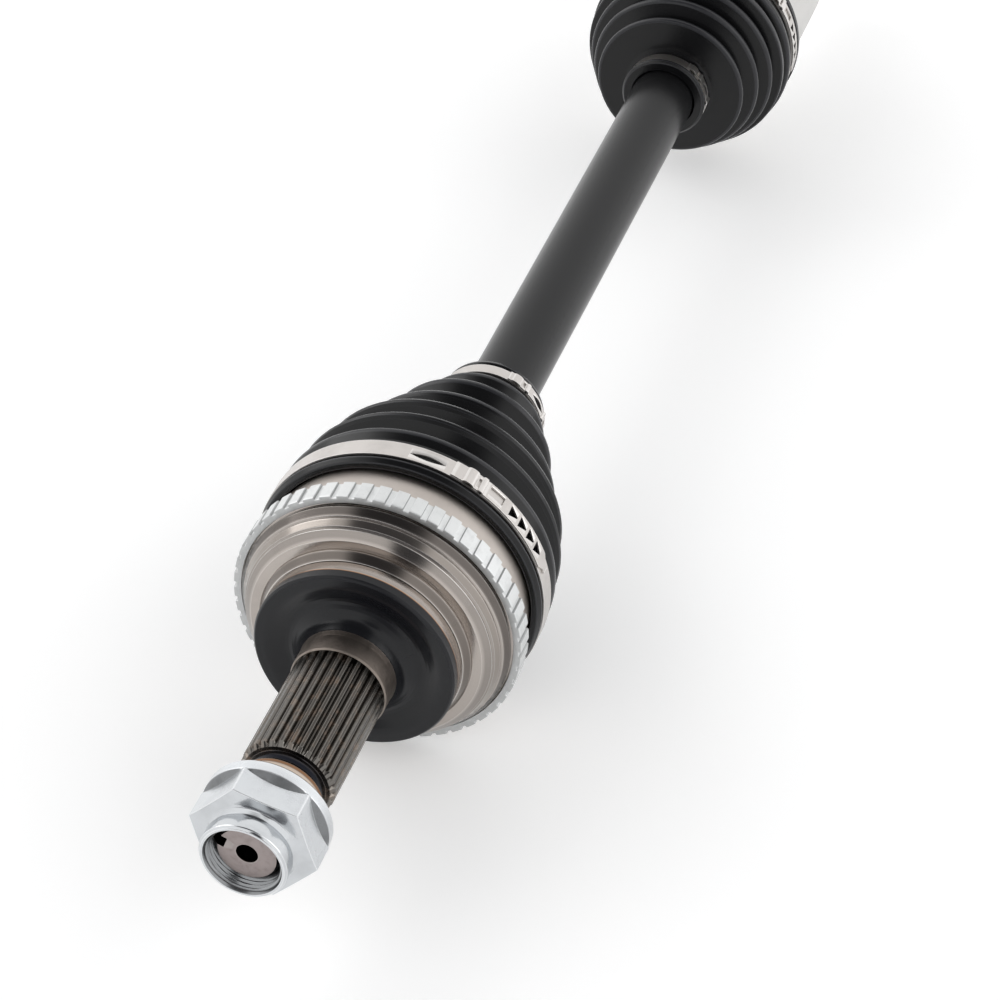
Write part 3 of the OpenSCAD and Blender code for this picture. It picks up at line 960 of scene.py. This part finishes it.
def cut_notch(piece, sizes):
    """Cuts the stake notch in the stub's end, turned 70 degrees towards -X from straight up."""
    wide, low, high, deep = mm(sizes.notch_width), mm(sizes.thread_r) - 4.9, mm(sizes.thread_r) + 2, 14.0
    turn = math.radians(-70)
    across = Vector((math.cos(turn), 0, -math.sin(turn)))
    out = Vector((math.sin(turn), 0, math.cos(turn)))
    verts = []
    for y in (STUB_END - 1, STUB_END + deep):
        for r, side in ((low, -0.5), (low, 0.5), (high, 0.5), (high, -0.5)):
            verts.append((out * r + across * side * wide + Vector((0, y, 0))) * MM)
    sides = [(0, 1, 2, 3), (4, 5, 6, 7), (0, 1, 5, 4), (1, 2, 6, 5), (2, 3, 7, 6), (3, 0, 4, 7)]
    # The notch's walls take the dark tint finish: painted shade in the notch
    dark_finish = 1
    cutter = mesh_object("notch_cutter", verts, sides, [dark_finish] * len(sides))
    cut = piece.modifiers.new("notch", "BOOLEAN")
    cut.operation = "DIFFERENCE"
    cut.solver = "EXACT"
    cut.object = cutter
    apply_modifiers(piece)
    bpy.data.objects.remove(cutter)


class CV_AXLE_OT_wheel_housing(bpy.types.Operator):
    """Build the ball joint's bell with its flange and splined stub"""

    bl_idname = "cv_axle.wheel_housing"
    bl_label = "Wheel end housing"

    def execute(self, context):
        sizes = settings("axle_housing_sizes")
        samples_per_tooth = 12
        piece = turned("outer_housing_steel", housing_outline(sizes), sizes.spline_teeth * samples_per_tooth)
        finish_with(
            piece, stub_face_steel(), heat_tinted_steel(), spline_steel(), journal_steel(),
            furnace_scale(), turned_steel(), bell_steel(),
        )
        cut_notch(piece, sizes)
        settle(piece, sharp=28.0)
        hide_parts("outer_housing")
        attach(piece, "wheel_end")
        return {"FINISHED"}


def hexagon(flats, turn):
    """Radius of a hexagon at an angle about the axle."""

    def radius(angle):
        off = (angle - turn) % (TURN / 6) - TURN / 12
        return flats / 2 / math.cos(off)

    return radius


def nut_body(sizes):
    """The nut's flange, chamfered hexagon and collar, with its threaded bore."""
    plain, thread, forged, shiny = range(4)
    front_face = COLLAR_FRONT + 8.3
    radius = hexagon(mm(sizes.flats), sizes.hex_turn)
    corner_r = mm(sizes.flats) / math.sqrt(3)
    collar_r, bore_r = mm(sizes.collar_r), mm(sizes.bore_r)
    fillet_r, chamfer_rise = collar_r + 1.6, 0.13
    flange_r, rim_front, cone_rise = 20.3, NUT_BACK - 4.0, 0.69

    def column(angle):
        """One line of the nut, from the hexagon's front over its flat and the flange to the nut's back."""
        here = radius(angle)
        front = front_face + (here - fillet_r) * chamfer_rise
        foot = rim_front - 0.2 - (corner_r - here) * cone_rise
        return [
            (front - GUARD * chamfer_rise, here - GUARD, plain),
            (front, here, plain),
            (front + GUARD, here, plain),
            (foot - GUARD, here, plain),
            (foot, here, forged),
            (foot + (rim_front - foot) * 0.15, here + (flange_r - here) * 0.15, forged),
            (foot + (rim_front - foot) * 0.85, here + (flange_r - here) * 0.85, forged),
            (rim_front, flange_r, plain),
            (rim_front + GUARD, flange_r, plain),
            (NUT_BACK - 0.6, flange_r, plain),
            (NUT_BACK - 0.15, flange_r - 0.25, plain),
            (NUT_BACK, flange_r - 0.8, plain),
            (NUT_BACK, 14.3, thread),
            (NUT_BACK - 2.4, bore_r, thread),
        ]

    collar = arc_steps(
        [
            Corner(NUT_BACK - 2.4, bore_r, 0, thread),
            Corner(STUB_END + 3.0, bore_r, 0, thread),
            Corner(COLLAR_FRONT + 0.9, bore_r, 0.2, thread),
            Corner(COLLAR_FRONT, bore_r + 0.5, 0.3, shiny),
            Corner(COLLAR_FRONT, collar_r - 0.7, 0.6, shiny),
            Corner(COLLAR_FRONT + 0.8, collar_r, 0.6, shiny),
            Corner(front_face - 2.9, collar_r, 0.3, shiny),
            Corner(front_face - 2.5, collar_r - 0.5, 0.2, shiny),
            Corner(front_face - 1.6, collar_r - 0.5, 0.3, shiny),
            Corner(front_face - 0.3, collar_r + 0.5, 0.9, shiny),
            Corner(front_face, fillet_r, 0, shiny),
        ],
        closed=False,
    )
    cut = threaded(mm(sizes.pitch), mm(sizes.thread_depth), COLLAR_FRONT)
    inside = []
    for a, b in zip(collar, collar[1:]):
        straight = max(abs(a.r - bore_r), abs(b.r - bore_r)) < 0.01
        in_bore = straight and b.y < STUB_END + 3.0 and a.y > b.y + 1
        count = 36 if in_bore else 1
        inside.append(a)
        for k in range(1, count):
            y = a.y + (b.y - a.y) * k / count
            inside.append(Corner(y, bore_r, 0, thread, cut))
    inside.append(collar[-1])
    return column, inside


class CV_AXLE_OT_axle_nut(bpy.types.Operator):
    """Build the flanged axle nut with its staking collar"""

    bl_idname = "cv_axle.axle_nut"
    bl_label = "Axle nut"

    def execute(self, context):
        sizes = settings("axle_nut_sizes")
        column, inside = nut_body(sizes)
        around = 240
        verts, finishes_down = [], []
        for k in range(around):
            # Columns start on a hexagon corner, so that each corner stays sharp
            angle = sizes.hex_turn + TURN * k / around
            line = [(p.y, p.section(angle, p.y, p.r) if p.section else p.r, p.finish) for p in inside]
            line += column(angle)
            verts += [around_axle(angle, y, r) for y, r, _ in line]
            finishes_down = [finish for _, _, finish in line]
        rows = len(finishes_down)
        faces, finishes = [], []
        for k in range(around):
            a, b = k * rows, ((k + 1) % around) * rows
            for i in range(rows):
                j = (i + 1) % rows
                faces.append((a + i, a + j, b + j, b + i))
                finishes.append(finishes_down[i])
        piece = mesh_object("axle_nut_zinc", verts, faces, finishes)
        finish_with(piece, zinc_plate(), zinc_thread(), zinc_forged(), zinc_turned())
        settle(piece, sharp=30.0, bevel=0.12, bevel_angle=24.0)
        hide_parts("axle_nut")
        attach(piece, "wheel_end")
        return {"FINISHED"}


class CV_AXLE_OT_tone_ring(bpy.types.Operator):
    """Build the toothed ring that the wheel speed sensor reads"""

    bl_idname = "cv_axle.tone_ring"
    bl_label = "Tone ring"

    def execute(self, context):
        sizes = settings("axle_tone_ring_sizes")
        pitch = TURN / sizes.teeth
        gap = mm(sizes.gap_width) / TONE_R
        slope = 0.15 / TONE_R
        depth = mm(sizes.gap_depth)
        narrow = GUARD / TONE_R
        land_end, gap_start = pitch - gap - slope, pitch - gap
        # Angles and depths of one tooth's corners: its land, then the gap after it
        land = [(0.0, 0.0), (narrow, 0.0), (land_end / 2, 0.0), (land_end - narrow, 0.0)]
        tooth = land + [(land_end, 0.0), (gap_start, depth), (pitch - gap / 2, depth), (pitch - slope, depth)]
        chamfer, bore_r = 0.2, TONE_SEAT_R + 0.02
        # One line across the ring: position, radius, and whether the gaps cut into it
        rings = [
            (TONE_FRONT, bore_r, False),
            (TONE_FRONT, TONE_R - chamfer, True),
            (TONE_FRONT + chamfer, TONE_R, True),
            (TONE_FRONT + chamfer + GUARD, TONE_R, True),
            (TONE_BACK - chamfer - GUARD, TONE_R, True),
            (TONE_BACK - chamfer, TONE_R, True),
            (TONE_BACK, TONE_R - chamfer, True),
            (TONE_BACK, bore_r, False),
        ]
        verts, count = [], sizes.teeth * len(tooth)
        for number in range(sizes.teeth):
            for turn, down in tooth:
                angle = number * pitch + turn
                verts += [around_axle(angle, y, r - (down if outer else 0)) for y, r, outer in rings]
        rows = len(rings)
        faces, finishes = [], []
        for k in range(count):
            a, b = k * rows, ((k + 1) % count) * rows
            wall = k % len(tooth) in (len(land), len(tooth) - 1)
            for i in range(rows):
                faces.append((a + i, a + (i + 1) % rows, b + (i + 1) % rows, b + i))
                # Tooth walls and the front face take the darker finish: painted shade
                finishes.append(1 if wall or i == 0 else 0)
        piece = mesh_object("tone_ring_zinc", verts, faces, finishes)
        finish_with(piece, sintered_zinc(), sintered_recess())
        settle(piece, sharp=30.0, bevel=0.07, bevel_angle=30.0)
        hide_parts("tone_ring")
        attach(piece, "wheel_end")
        return {"FINISHED"}


# Boots

OUTER_FOLDS = [
    (68.2, 48.7), (73.2, 40.8), (79.5, 47.6), (85.4, 36.8), (92.0, 44.0), (99.2, 30.5),
    (107.5, 36.0), (115.4, 24.6), (123.5, 29.5), (130.6, 20.6), (137.0, 22.4),
]
INNER_FOLDS = [
    (365.8, 29.1), (369.5, 25.0), (373.8, 33.1), (377.6, 28.6), (381.4, 36.6), (384.6, 32.0),
    (387.8, 39.3), (391.0, 35.0), (394.2, 40.3),
]
INNER_SPLIT = INNER_FOLDS[6]
# Half the breadth of the inner boot's fat crests
BROAD_CREST = 1.3


def fold_corners(folds, sizes, breadth=0.0):
    """The outside of a boot's folds, crests first, with crests and valleys rounded differently."""
    crest, valley = mm(sizes.crest), mm(sizes.valley)
    corners = []
    for i, (y, r) in enumerate(folds):
        if i % 2:
            corners.append(Corner(y, r, valley))
        elif breadth:
            corners += [Corner(y - breadth, r, crest), Corner(y + breadth, r, crest)]
        else:
            corners.append(Corner(y, r, crest))
    return corners


def inside_of(outside, wall):
    """The inside of a boot: the outside's corners pulled in by the wall, in the other direction."""
    return [Corner(c.y, c.r - wall, 1.0) for c in reversed(outside)]


class CV_AXLE_OT_boots(bpy.types.Operator):
    """Build both folded rubber boots"""

    bl_idname = "cv_axle.boots"
    bl_label = "Boots"

    def execute(self, context):
        sizes = settings("axle_boot_sizes")
        rubber = boot_rubber()
        for piece, node, bodies, ends in (
            self.outer_boot(sizes), self.inner_boot_folds(sizes), self.inner_boot_cuff(sizes)
        ):
            finish_with(piece, rubber)
            settle(piece, sharp=50.0)
            if node:
                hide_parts(node)
            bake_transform(piece)
        return {"FINISHED"}

    def outer_boot(self, sizes):
        """The wheel end boot, from the lip round the bell to the cuff on the shaft."""
        wall = mm(sizes.wall)
        folds = fold_corners(OUTER_FOLDS, sizes)
        cuff_r, small_r = 48.05, 17.6
        outside = [
            Corner(LIP_FRONT, 45.6, 0.5), Corner(LIP_FRONT + 0.4, 47.6, 0.8),
            Corner(LIP_FRONT + 2.4, 48.7, 0.8), Corner(53.2, cuff_r, 0.3), Corner(61.0, cuff_r, 0.5),
            Corner(62.2, 46.9, 0.8), Corner(63.8, 46.9, 0.8),
            *folds,
            Corner(140.3, 18.6, 1.2), Corner(141.6, small_r, 0.4), Corner(148.0, small_r, 0.3),
            Corner(149.0, small_r + 0.5, 0.4), Corner(SMALL_CUFF_END, small_r, 0.6),
        ]
        lining = [
            Corner(SMALL_CUFF_END, 12.5, 0.3), Corner(141.0, 12.5, 0.5),
            *inside_of(folds, wall), Corner(66.0, 45.0, 0.5), Corner(63.0, 44.4, 0.3),
            Corner(63.0, 44.0, 0.3), Corner(52.1, 44.0, 0.2), Corner(51.0, 45.2, 0.2),
        ]
        piece = turned("outer_boot_rubber", outside + lining, around=180, longest=1.6)
        return piece, "outer_boot", ("wheel_end", "shaft"), (62.0, 141.0)

    def inner_boot_folds(self, sizes):
        """The gearbox end boot's large cuff and outer folds, which stretch as the joint plunges."""
        wall = mm(sizes.wall)
        folds = fold_corners(INNER_FOLDS[6:], sizes, BROAD_CREST)[1:]
        cuff_r, rim_r = 38.6, 40.1
        split_y, split_r = INNER_SPLIT
        outside = [
            Corner(split_y, split_r), *folds,
            Corner(397.8, 38.8, 1.0), Corner(399.0, cuff_r, 0.5), Corner(406.6, cuff_r, 0.4),
            Corner(407.4, rim_r, 0.5), Corner(TULIP_CUFF_END - 0.4, rim_r, 0.6),
            Corner(TULIP_CUFF_END, 39.0, 0.4),
        ]
        lining = [
            Corner(TULIP_CUFF_END, 30.4, 0.3), Corner(TULIP_MOUTH + 0.2, 30.4, 0.2), Corner(398.6, 34.5, 0.5),
            *inside_of(folds, wall), Corner(split_y, split_r - wall),
        ]
        piece = turned("inner_boot_rubber_folds", outside + lining, around=180, longest=1.2)
        return piece, "inner_boot", ("gearbox_end", "pivot_roller"), (397.5, split_y)

    def inner_boot_cuff(self, sizes):
        """The gearbox end boot's inner folds and small cuff, which swing as the joint bends."""
        wall = mm(sizes.wall)
        folds = fold_corners(INNER_FOLDS[:7], sizes, BROAD_CREST)[:-1]
        cuff_r = 15.0
        split_y, split_r = INNER_SPLIT
        outside = [
            Corner(BOX_CUFF_START, cuff_r + 0.6, 0.6), Corner(BOX_CUFF_START + 1.0, cuff_r + 1.5, 0.5),
            Corner(BOX_CUFF_START + 1.9, cuff_r + 1.3, 0.4), Corner(BOX_CUFF_START + 2.3, cuff_r, 0.3),
            Corner(362.6, cuff_r, 0.5),
            Corner(363.4, cuff_r + 2.4, 0.8), *folds, Corner(split_y, split_r),
        ]
        lining = [
            Corner(split_y, split_r - wall), *inside_of(folds, wall),
            Corner(365.4, cuff_r, 0.5), Corner(363.8, 12.6, 0.4), Corner(BOX_CUFF_START, 12.6, 0.2),
        ]
        piece = turned("inner_boot_rubber_cuff", outside + lining, around=180, longest=1.2)
        return piece, None, ("pivot_roller", "shaft"), (split_y, 362.4)


# Clamps


class Opening(NamedTuple):
    """A window in a clamp band: from and to in degrees, middle and half height as parts of its width."""

    start: float
    end: float
    middle: float
    half: float
    # How its height changes from start to end: "plain", "lens" or "arrow"
    shape: str = "plain"

    def height(self, angle):
        """Half the window's height at an angle."""
        t = (angle - self.start) / (self.end - self.start)
        fall = {"plain": 1.0, "lens": math.sin(math.pi * t), "arrow": 1.0 - 0.85 * t}
        return self.half * max(0.02, fall[self.shape])


class Hook(NamedTuple):
    """A raised, rolled tab on a clamp band: from and to in degrees, and its height in millimetres."""

    start: float
    end: float
    height: float

    def lift(self, angle):
        """How far the tab stands above the band at an angle."""
        t = (angle - self.start) / (self.end - self.start)
        return self.height * math.sin(math.pi * min(1.0, max(0.0, t))) ** 0.4


def strap(name, radius, front, back, start, end, openings=(), hooks=(), thickness=0.7, tail=0.0, step=1.5):
    """A sheet strap round the axle from start to end in degrees, with windows, hooks and a tapered tail."""
    width = back - front
    turns = round((end - start) / step)
    stops = {start + (end - start) * k / turns for k in range(turns + 1)}
    for o in openings:
        stops.update(o.start + (o.end - o.start) * k / 10 for k in range(11))
        stops.update((o.start - 0.02, o.end + 0.02))
    for h in hooks:
        stops.update(h.start + (h.end - h.start) * k / 8 for k in range(9))
    if tail:
        stops.update(end - tail * k / 6 for k in range(7))
    angles = sorted(a for a in stops if start <= a <= end)
    closed = end - start >= 360
    if closed:
        angles.pop()

    def window(angle):
        """The window that the angle crosses, if any."""
        return next((o for o in openings if o.start <= angle <= o.end), None)

    verts, faces = [], []
    for angle in angles:
        cut = window(angle) or Opening(angle - 1, angle + 1, 0.5, 0.15)
        squeeze = max(0.4, (end - angle) / tail) if tail and angle > end - tail else 1.0
        low, high = ((cut.middle + side * cut.height(angle)) * width for side in (-1, 1))
        lift = sum(h.lift(angle) for h in hooks)
        for across in (0.0, GUARD, low, high, width - GUARD, width):
            y = front + width / 2 + (across - width / 2) * squeeze
            verts.append(around_axle(math.radians(angle), y, radius + lift))
    for k in range(len(angles) if closed else len(angles) - 1):
        a, b = k * 6, ((k + 1) % len(angles)) * 6
        middle = (angles[k] + (angles[k + 1] if k + 1 < len(angles) else end)) / 2
        for i in range(5):
            if i != 2 or not window(middle):
                faces.append((a + i, a + i + 1, b + i + 1, b + i))
    piece = mesh_object(name, verts, faces)
    sheet = piece.modifiers.new("sheet", "SOLIDIFY")
    sheet.thickness = thickness * MM
    sheet.offset = 0.0
    return piece


CLAMPS = [
    # Node, body, band radius, front, back, turn of the fastening in degrees, and whether it is a large one
    ("outer_boot_clamp_large", "wheel_end", 48.5, 53.4, 60.5, 0.0, True),
    ("outer_boot_clamp_small", "shaft", 18.0, 143.0, 147.2, 0.0, False),
    ("inner_boot_clamp_large", "gearbox_end", 39.1, 400.0, 406.0, 25.0, True),
    ("inner_boot_clamp_small", "shaft", 15.4, 358.0, 361.8, 10.0, False),
]


def clamp_pieces(name, radius, front, back, turn, large, sizes):
    """The band and the overlapping tongue of one boot clamp, as two meshes."""
    sheet, ear = mm(sizes.sheet), mm(sizes.ear)
    if large:
        slots = [Opening(3.7, 18.2, 0.42, 0.16, "lens"), Opening(47.4, 69.0, 0.5, 0.34)]
        tongue_turns, step = (21.0, 76.0), 1.5
        hooks = [Hook(25.8, 30.6, ear * 0.5), Hook(32.4, 34.6, ear * 0.35)]
        windows = [Opening(31.2, 32.2, 0.5, 0.3), Opening(36.6, 43.4, 0.55, 0.27)]
        windows += [Opening(start, start + 4.4, 0.5, 0.36, "arrow") for start in (46.9, 52.6, 58.3, 64.0)]
    else:
        slots = [Opening(56.0, 78.0, 0.5, 0.34)]
        tongue_turns, step = (22.0, 104.0), 3.0
        hooks = [Hook(26.0, 37.0, ear * 0.3), Hook(44.0, 48.0, ear * 0.3), Hook(80.0, 85.0, ear * 0.35)]
        windows = [Opening(39.0, 42.0, 0.5, 0.3), Opening(54.0, 78.0, 0.5, 0.3, "lens")]
        windows += [Opening(87.0, 95.0, 0.5, 0.28, "lens")]

    def turned_by(features):
        """Windows or hooks moved round with the clamp's fastening."""
        return [f._replace(start=f.start + turn, end=f.end + turn) for f in features]

    band = strap(
        name + "_band", radius, front, back, turn, turn + 360,
        openings=turned_by(slots), thickness=sheet, step=step,
    )
    start, end = tongue_turns
    tongue = strap(
        name, radius + sheet, front + 0.15, back - 0.15, turn + start, turn + end,
        openings=turned_by(windows), hooks=turned_by(hooks), thickness=sheet * 0.8, tail=5.0, step=2.0,
    )
    return band, tongue


class CV_AXLE_OT_clamps(bpy.types.Operator):
    """Build the four boot clamps with their hooks, windows and tails"""

    bl_idname = "cv_axle.clamps"
    bl_label = "Boot clamps"

    def execute(self, context):
        sizes = settings("axle_clamp_sizes")
        steel = clamp_steel()
        for name, body, radius, front, back, turn, large in CLAMPS:
            band, tongue = clamp_pieces(name + "_steel", radius, front, back, turn, large, sizes)
            for piece in (band, tongue):
                finish_with(piece, steel)
                settle(piece, sharp=28.0, bevel=0.1, bevel_angle=50.0)
                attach(piece, body)
            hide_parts(name)
        return {"FINISHED"}


# Shaft and gearbox end


class CV_AXLE_OT_shaft(bpy.types.Operator):
    """Build the bar shaft with its necked, splined ends"""

    bl_idname = "cv_axle.shaft"
    bl_label = "Bar shaft"

    def execute(self, context):
        front, back, _ = span("axle_shaft")
        bar_r, end_r = 12.1, 11.0
        teeth = splined(26, 0.9)
        outline = [
            Corner(front, 0), Corner(front, end_r - 0.9, 0.3), Corner(front + 0.8, end_r, 0.2, 1, teeth),
            Corner(front + 27.0, end_r, 0, 1, teeth), Corner(front + 30.0, bar_r, 1.5),
            Corner(154.0, bar_r, 0), Corner(352.0, bar_r, 0), Corner(back - 33.0, bar_r, 1.5),
            Corner(back - 30.0, end_r, 0, 1, teeth), Corner(back - 0.8, end_r, 0.2, 1, teeth),
            Corner(back, end_r - 0.9, 0.3), Corner(back, 0),
        ]
        piece = turned("axle_shaft_painted", outline, around=26 * 8, closed=False, longest=6.0)
        finish_with(piece, shaft_paint(), joint_steel())
        settle(piece, sharp=35.0)
        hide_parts("axle_shaft")
        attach(piece, "shaft")
        return {"FINISHED"}


class CV_AXLE_OT_tripod_housing(bpy.types.Operator):
    """Build the three-lobed tripod housing with its seal journal and gearbox spline"""

    bl_idname = "cv_axle.tripod_housing"
    bl_label = "Tripod housing"

    def execute(self, context):
        sizes = settings("axle_tripod_sizes")
        distance, lobe_r, track_r = mm(sizes.lobe_distance), mm(sizes.lobe_r), mm(sizes.track_r)
        web = mm(sizes.web_r)
        seal_r, spline_r = 18.0, 14.0
        mouth, end = TULIP_MOUTH, BOX_STUB_END
        body_end, track_end = mouth + 68.0, mouth + 61.0
        outer = lobed(3, distance, lobe_r, 2.5)
        small = lobed(3, distance, lobe_r - 1.4, 2.5)
        tracks = lobed(3, distance, track_r)
        teeth = splined(sizes.teeth, 1.2)
        outline = [
            Corner(track_end, 0), Corner(track_end, 17.5, 0, 0, tracks),
            Corner(mouth + 34.0, 17.5, 0, 0, tracks), Corner(mouth, 28.6, 0.4, 0, tracks),
            Corner(mouth, web - 1.0, 0, 0, small), Corner(mouth + 0.9, web - 0.5, 0, 0, outer),
            Corner(mouth + 11.0, web - 0.5, 0.4, 0, outer), Corner(body_end - 1.6, web - 0.5, 0, 0, outer),
            Corner(body_end, web - 2.2, 0, 0, small), Corner(body_end, 27.0, 0.5),
            Corner(body_end + 1.5, 26.4, 1.0),
            Corner(body_end + 5.0, seal_r + 1.2, 1.5), Corner(body_end + 6.0, seal_r, 0.4),
            Corner(body_end + 20.0, seal_r, 0.6), Corner(body_end + 21.0, seal_r - 1.0, 0.4),
            Corner(body_end + 21.5, spline_r - 1.4, 0.8), Corner(body_end + 23.5, spline_r - 1.4, 0.3),
            Corner(body_end + 24.5, spline_r, 0, 0, teeth), Corner(end - 6.3, spline_r, 0, 0, teeth),
            Corner(end - 6.1, spline_r - 1.8), Corner(end - 4.3, spline_r - 1.8),
            Corner(end - 4.1, spline_r, 0, 0, teeth), Corner(end - 1.8, spline_r, 0, 0, teeth),
            Corner(end - 0.8, spline_r - 1.5, 0.3), Corner(end, spline_r - 2.6, 0.4),
            Corner(end, 3.6, 0.2), Corner(end - 0.8, 3.0, 0.2), Corner(end - 7.2, 3.0, 0.2),
            Corner(end - 8.5, 0),
        ]
        piece = turned("tripod_housing_silver", outline, around=28 * 12, closed=False, longest=8.0)
        finish_with(piece, housing_silver())
        settle(piece, sharp=26.0)
        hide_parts("tripod_housing")
        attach(piece, "gearbox_end")
        return {"FINISHED"}


class CV_AXLE_OT_inner_works(bpy.types.Operator):
    """Give the races, balls, rollers, needles and snap rings their finishes"""

    bl_idname = "cv_axle.inner_works"
    bl_label = "Inner works"

    def execute(self, context):
        made = {
            "joint_steel": joint_steel(), "bearing_steel": bearing_steel(), "spring_steel": spring_steel()
        }
        for row in frame["record"]["subparts"]:
            material = made.get(row["material_slot"])
            if material:
                node = frame["nodes"][row["node"]]
                node.data.materials.clear()
                finish_with(node, material)
        return {"FINISHED"}


# Stage


def look_from(azimuth, elevation):
    """The direction from what is looked at to the camera."""
    return Vector(
        (
            math.sin(azimuth) * math.cos(elevation),
            -math.cos(azimuth) * math.cos(elevation),
            math.sin(elevation),
        )
    )


def light_tent(strength, camera_side):
    """A white tent of light with a dark crown, an open front and the hole that a camera looks in through."""
    world = bpy.data.worlds.new("light tent")
    bpy.context.scene.world = world
    world.use_nodes = True
    nodes = Nodes(world.node_tree)
    place = nodes.add("ShaderNodeTexCoord").outputs["Generated"]
    facing = nodes.add("ShaderNodeVectorMath", {0: place, 1: camera_side}, operation="DOT_PRODUCT")
    hole = nodes.ranged(facing.outputs["Value"], math.cos(math.radians(16)), math.cos(math.radians(9)))
    split = nodes.add("ShaderNodeSeparateXYZ", {0: place})
    up = split.outputs[2]
    crown = nodes.ranged(up, 0.80, 0.90)
    front = nodes.ranged(nodes.maths("MULTIPLY", split.outputs[1], -1.0), 0.78, 0.90)
    low_front = nodes.maths("MULTIPLY", front, nodes.ranged(up, 0.42, 0.30))
    walls = nodes.mix(crown, (1.0, 1.0, 1.0), (0.10, 0.10, 0.105))
    walls = nodes.mix(low_front, walls, (0.16, 0.16, 0.17))
    shown = nodes.mix(hole, walls, (0.04, 0.04, 0.045))
    light = nodes.add("ShaderNodeBackground", {"Color": shown, "Strength": strength})
    nodes.add("ShaderNodeOutputWorld", {"Surface": light.outputs[0]})


def soft_light(name, place, aim, width, height, watts):
    """A rectangular soft light at a place, turned to its aim, both in metres."""
    data = bpy.data.lights.new(name, "AREA")
    data.shape = "RECTANGLE"
    data.size, data.size_y, data.energy = width, height, watts
    light = bpy.data.objects.new(name, data)
    light.location = place
    light.rotation_euler = (Vector(aim) - Vector(place)).to_track_quat("-Z", "Y").to_euler()
    bpy.context.scene.collection.objects.link(light)


def floor_paper(tone):
    """Matt white paper with a faint, fine tooth."""
    material = bpy.data.materials.new("floor_paper")
    material.use_nodes = True
    nodes = Nodes(material.node_tree)
    tooth = nodes.add("ShaderNodeGroup", node_tree=grain())
    tooth.inputs["Size mm"].default_value = 1.5
    bump = nodes.add("ShaderNodeBump", {"Height": tooth.outputs["Height"], "Distance": MM * 0.02})
    shader = nodes.add(
        "ShaderNodeBsdfPrincipled", {"Base Color": (*tone, 1.0), "Roughness": 0.9, "Normal": bump.outputs[0]}
    )
    # The paper is lit from behind too, so that shadows on it stay faint
    shader.inputs["Emission Color"].default_value = (1.0, 1.0, 1.0, 1.0)
    shader.inputs["Emission Strength"].default_value = 0.22
    nodes.add("ShaderNodeOutputMaterial", {"Surface": shader.outputs[0]})
    return material


class CV_AXLE_OT_stage(bpy.types.Operator):
    """Set up the camera, the pale floor and the soft light"""

    bl_idname = "cv_axle.stage"
    bl_label = "Stage"

    def execute(self, context):
        stage = settings("axle_stage_settings")
        scene = context.scene
        aim = Vector((stage.aim_x, stage.aim_y, stage.aim_z))
        back = look_from(stage.azimuth, stage.elevation)
        camera = bpy.data.objects.new("camera", bpy.data.cameras.new("camera"))
        camera.data.lens = stage.lens
        camera.data.sensor_width = 36.0
        camera.data.clip_end = 20.0
        camera.location = aim + back * stage.distance
        camera.rotation_euler = (math.pi / 2 - stage.elevation, 0.0, stage.azimuth)
        scene.collection.objects.link(camera)
        scene.camera = camera

        half = 6.0
        hair = 0.3 * MM
        low = CAD_BOX[0].z - hair
        corners = [(-half, -half, low), (half, -half, low), (half, half, low), (-half, half, low)]
        floor = mesh_object("floor", corners, [(0, 1, 2, 3)])
        finish_with(floor, floor_paper(tuple(stage.floor)))

        light_tent(stage.daylight, tuple(back))
        soft_light("left light", (-1.4, 0.5, 0.9), (0.0, 0.1, 0.0), 1.0, 1.0, 5.0)
        soft_light("right light", (1.5, 0.6, 0.6), (0.0, 0.1, 0.0), 0.8, 1.2, 4.0)
        scene.view_settings.view_transform = "Standard"
        return {"FINISHED"}


BUILD_ORDER = [
    CV_AXLE_OT_stage,
    CV_AXLE_OT_wheel_housing,
    CV_AXLE_OT_axle_nut,
    CV_AXLE_OT_tone_ring,
    CV_AXLE_OT_boots,
    CV_AXLE_OT_clamps,
    CV_AXLE_OT_shaft,
    CV_AXLE_OT_tripod_housing,
    CV_AXLE_OT_inner_works,
]


class CV_AXLE_PT_pieces(bpy.types.Panel):
    """Lists the axle's pieces, each with its button, and the sizes and colours they use"""

    bl_idname = "CV_AXLE_PT_pieces"
    bl_label = "CV axle"
    bl_space_type = "VIEW_3D"
    bl_region_type = "UI"
    bl_category = "CV axle"

    def draw(self, context):
        column = self.layout.column()
        for operator in BUILD_ORDER:
            column.operator(operator.bl_idname)
        for name, kind in SETTINGS.items():
            box = self.layout.box()
            box.label(text=kind.__doc__)
            for key in kind.__annotations__:
                box.prop(getattr(context.scene, name), key)


CLASSES = [*SETTINGS.values(), *BUILD_ORDER, CV_AXLE_PT_pieces]


def register():
    """Registers the classes and hangs the settings on the scene."""
    for cls in CLASSES:
        bpy.utils.register_class(cls)
    for name, kind in SETTINGS.items():
        setattr(bpy.types.Scene, name, PointerProperty(type=kind))


def unregister():
    """Takes the settings and the classes away again."""
    for name in SETTINGS:
        delattr(bpy.types.Scene, name)
    for cls in reversed(CLASSES):
        bpy.utils.unregister_class(cls)


def main():
    register()
    for operator in BUILD_ORDER:
        kind, name = operator.bl_idname.split(".")
        getattr(getattr(bpy.ops, kind), name)()


if __name__ == "__main__":
    main()
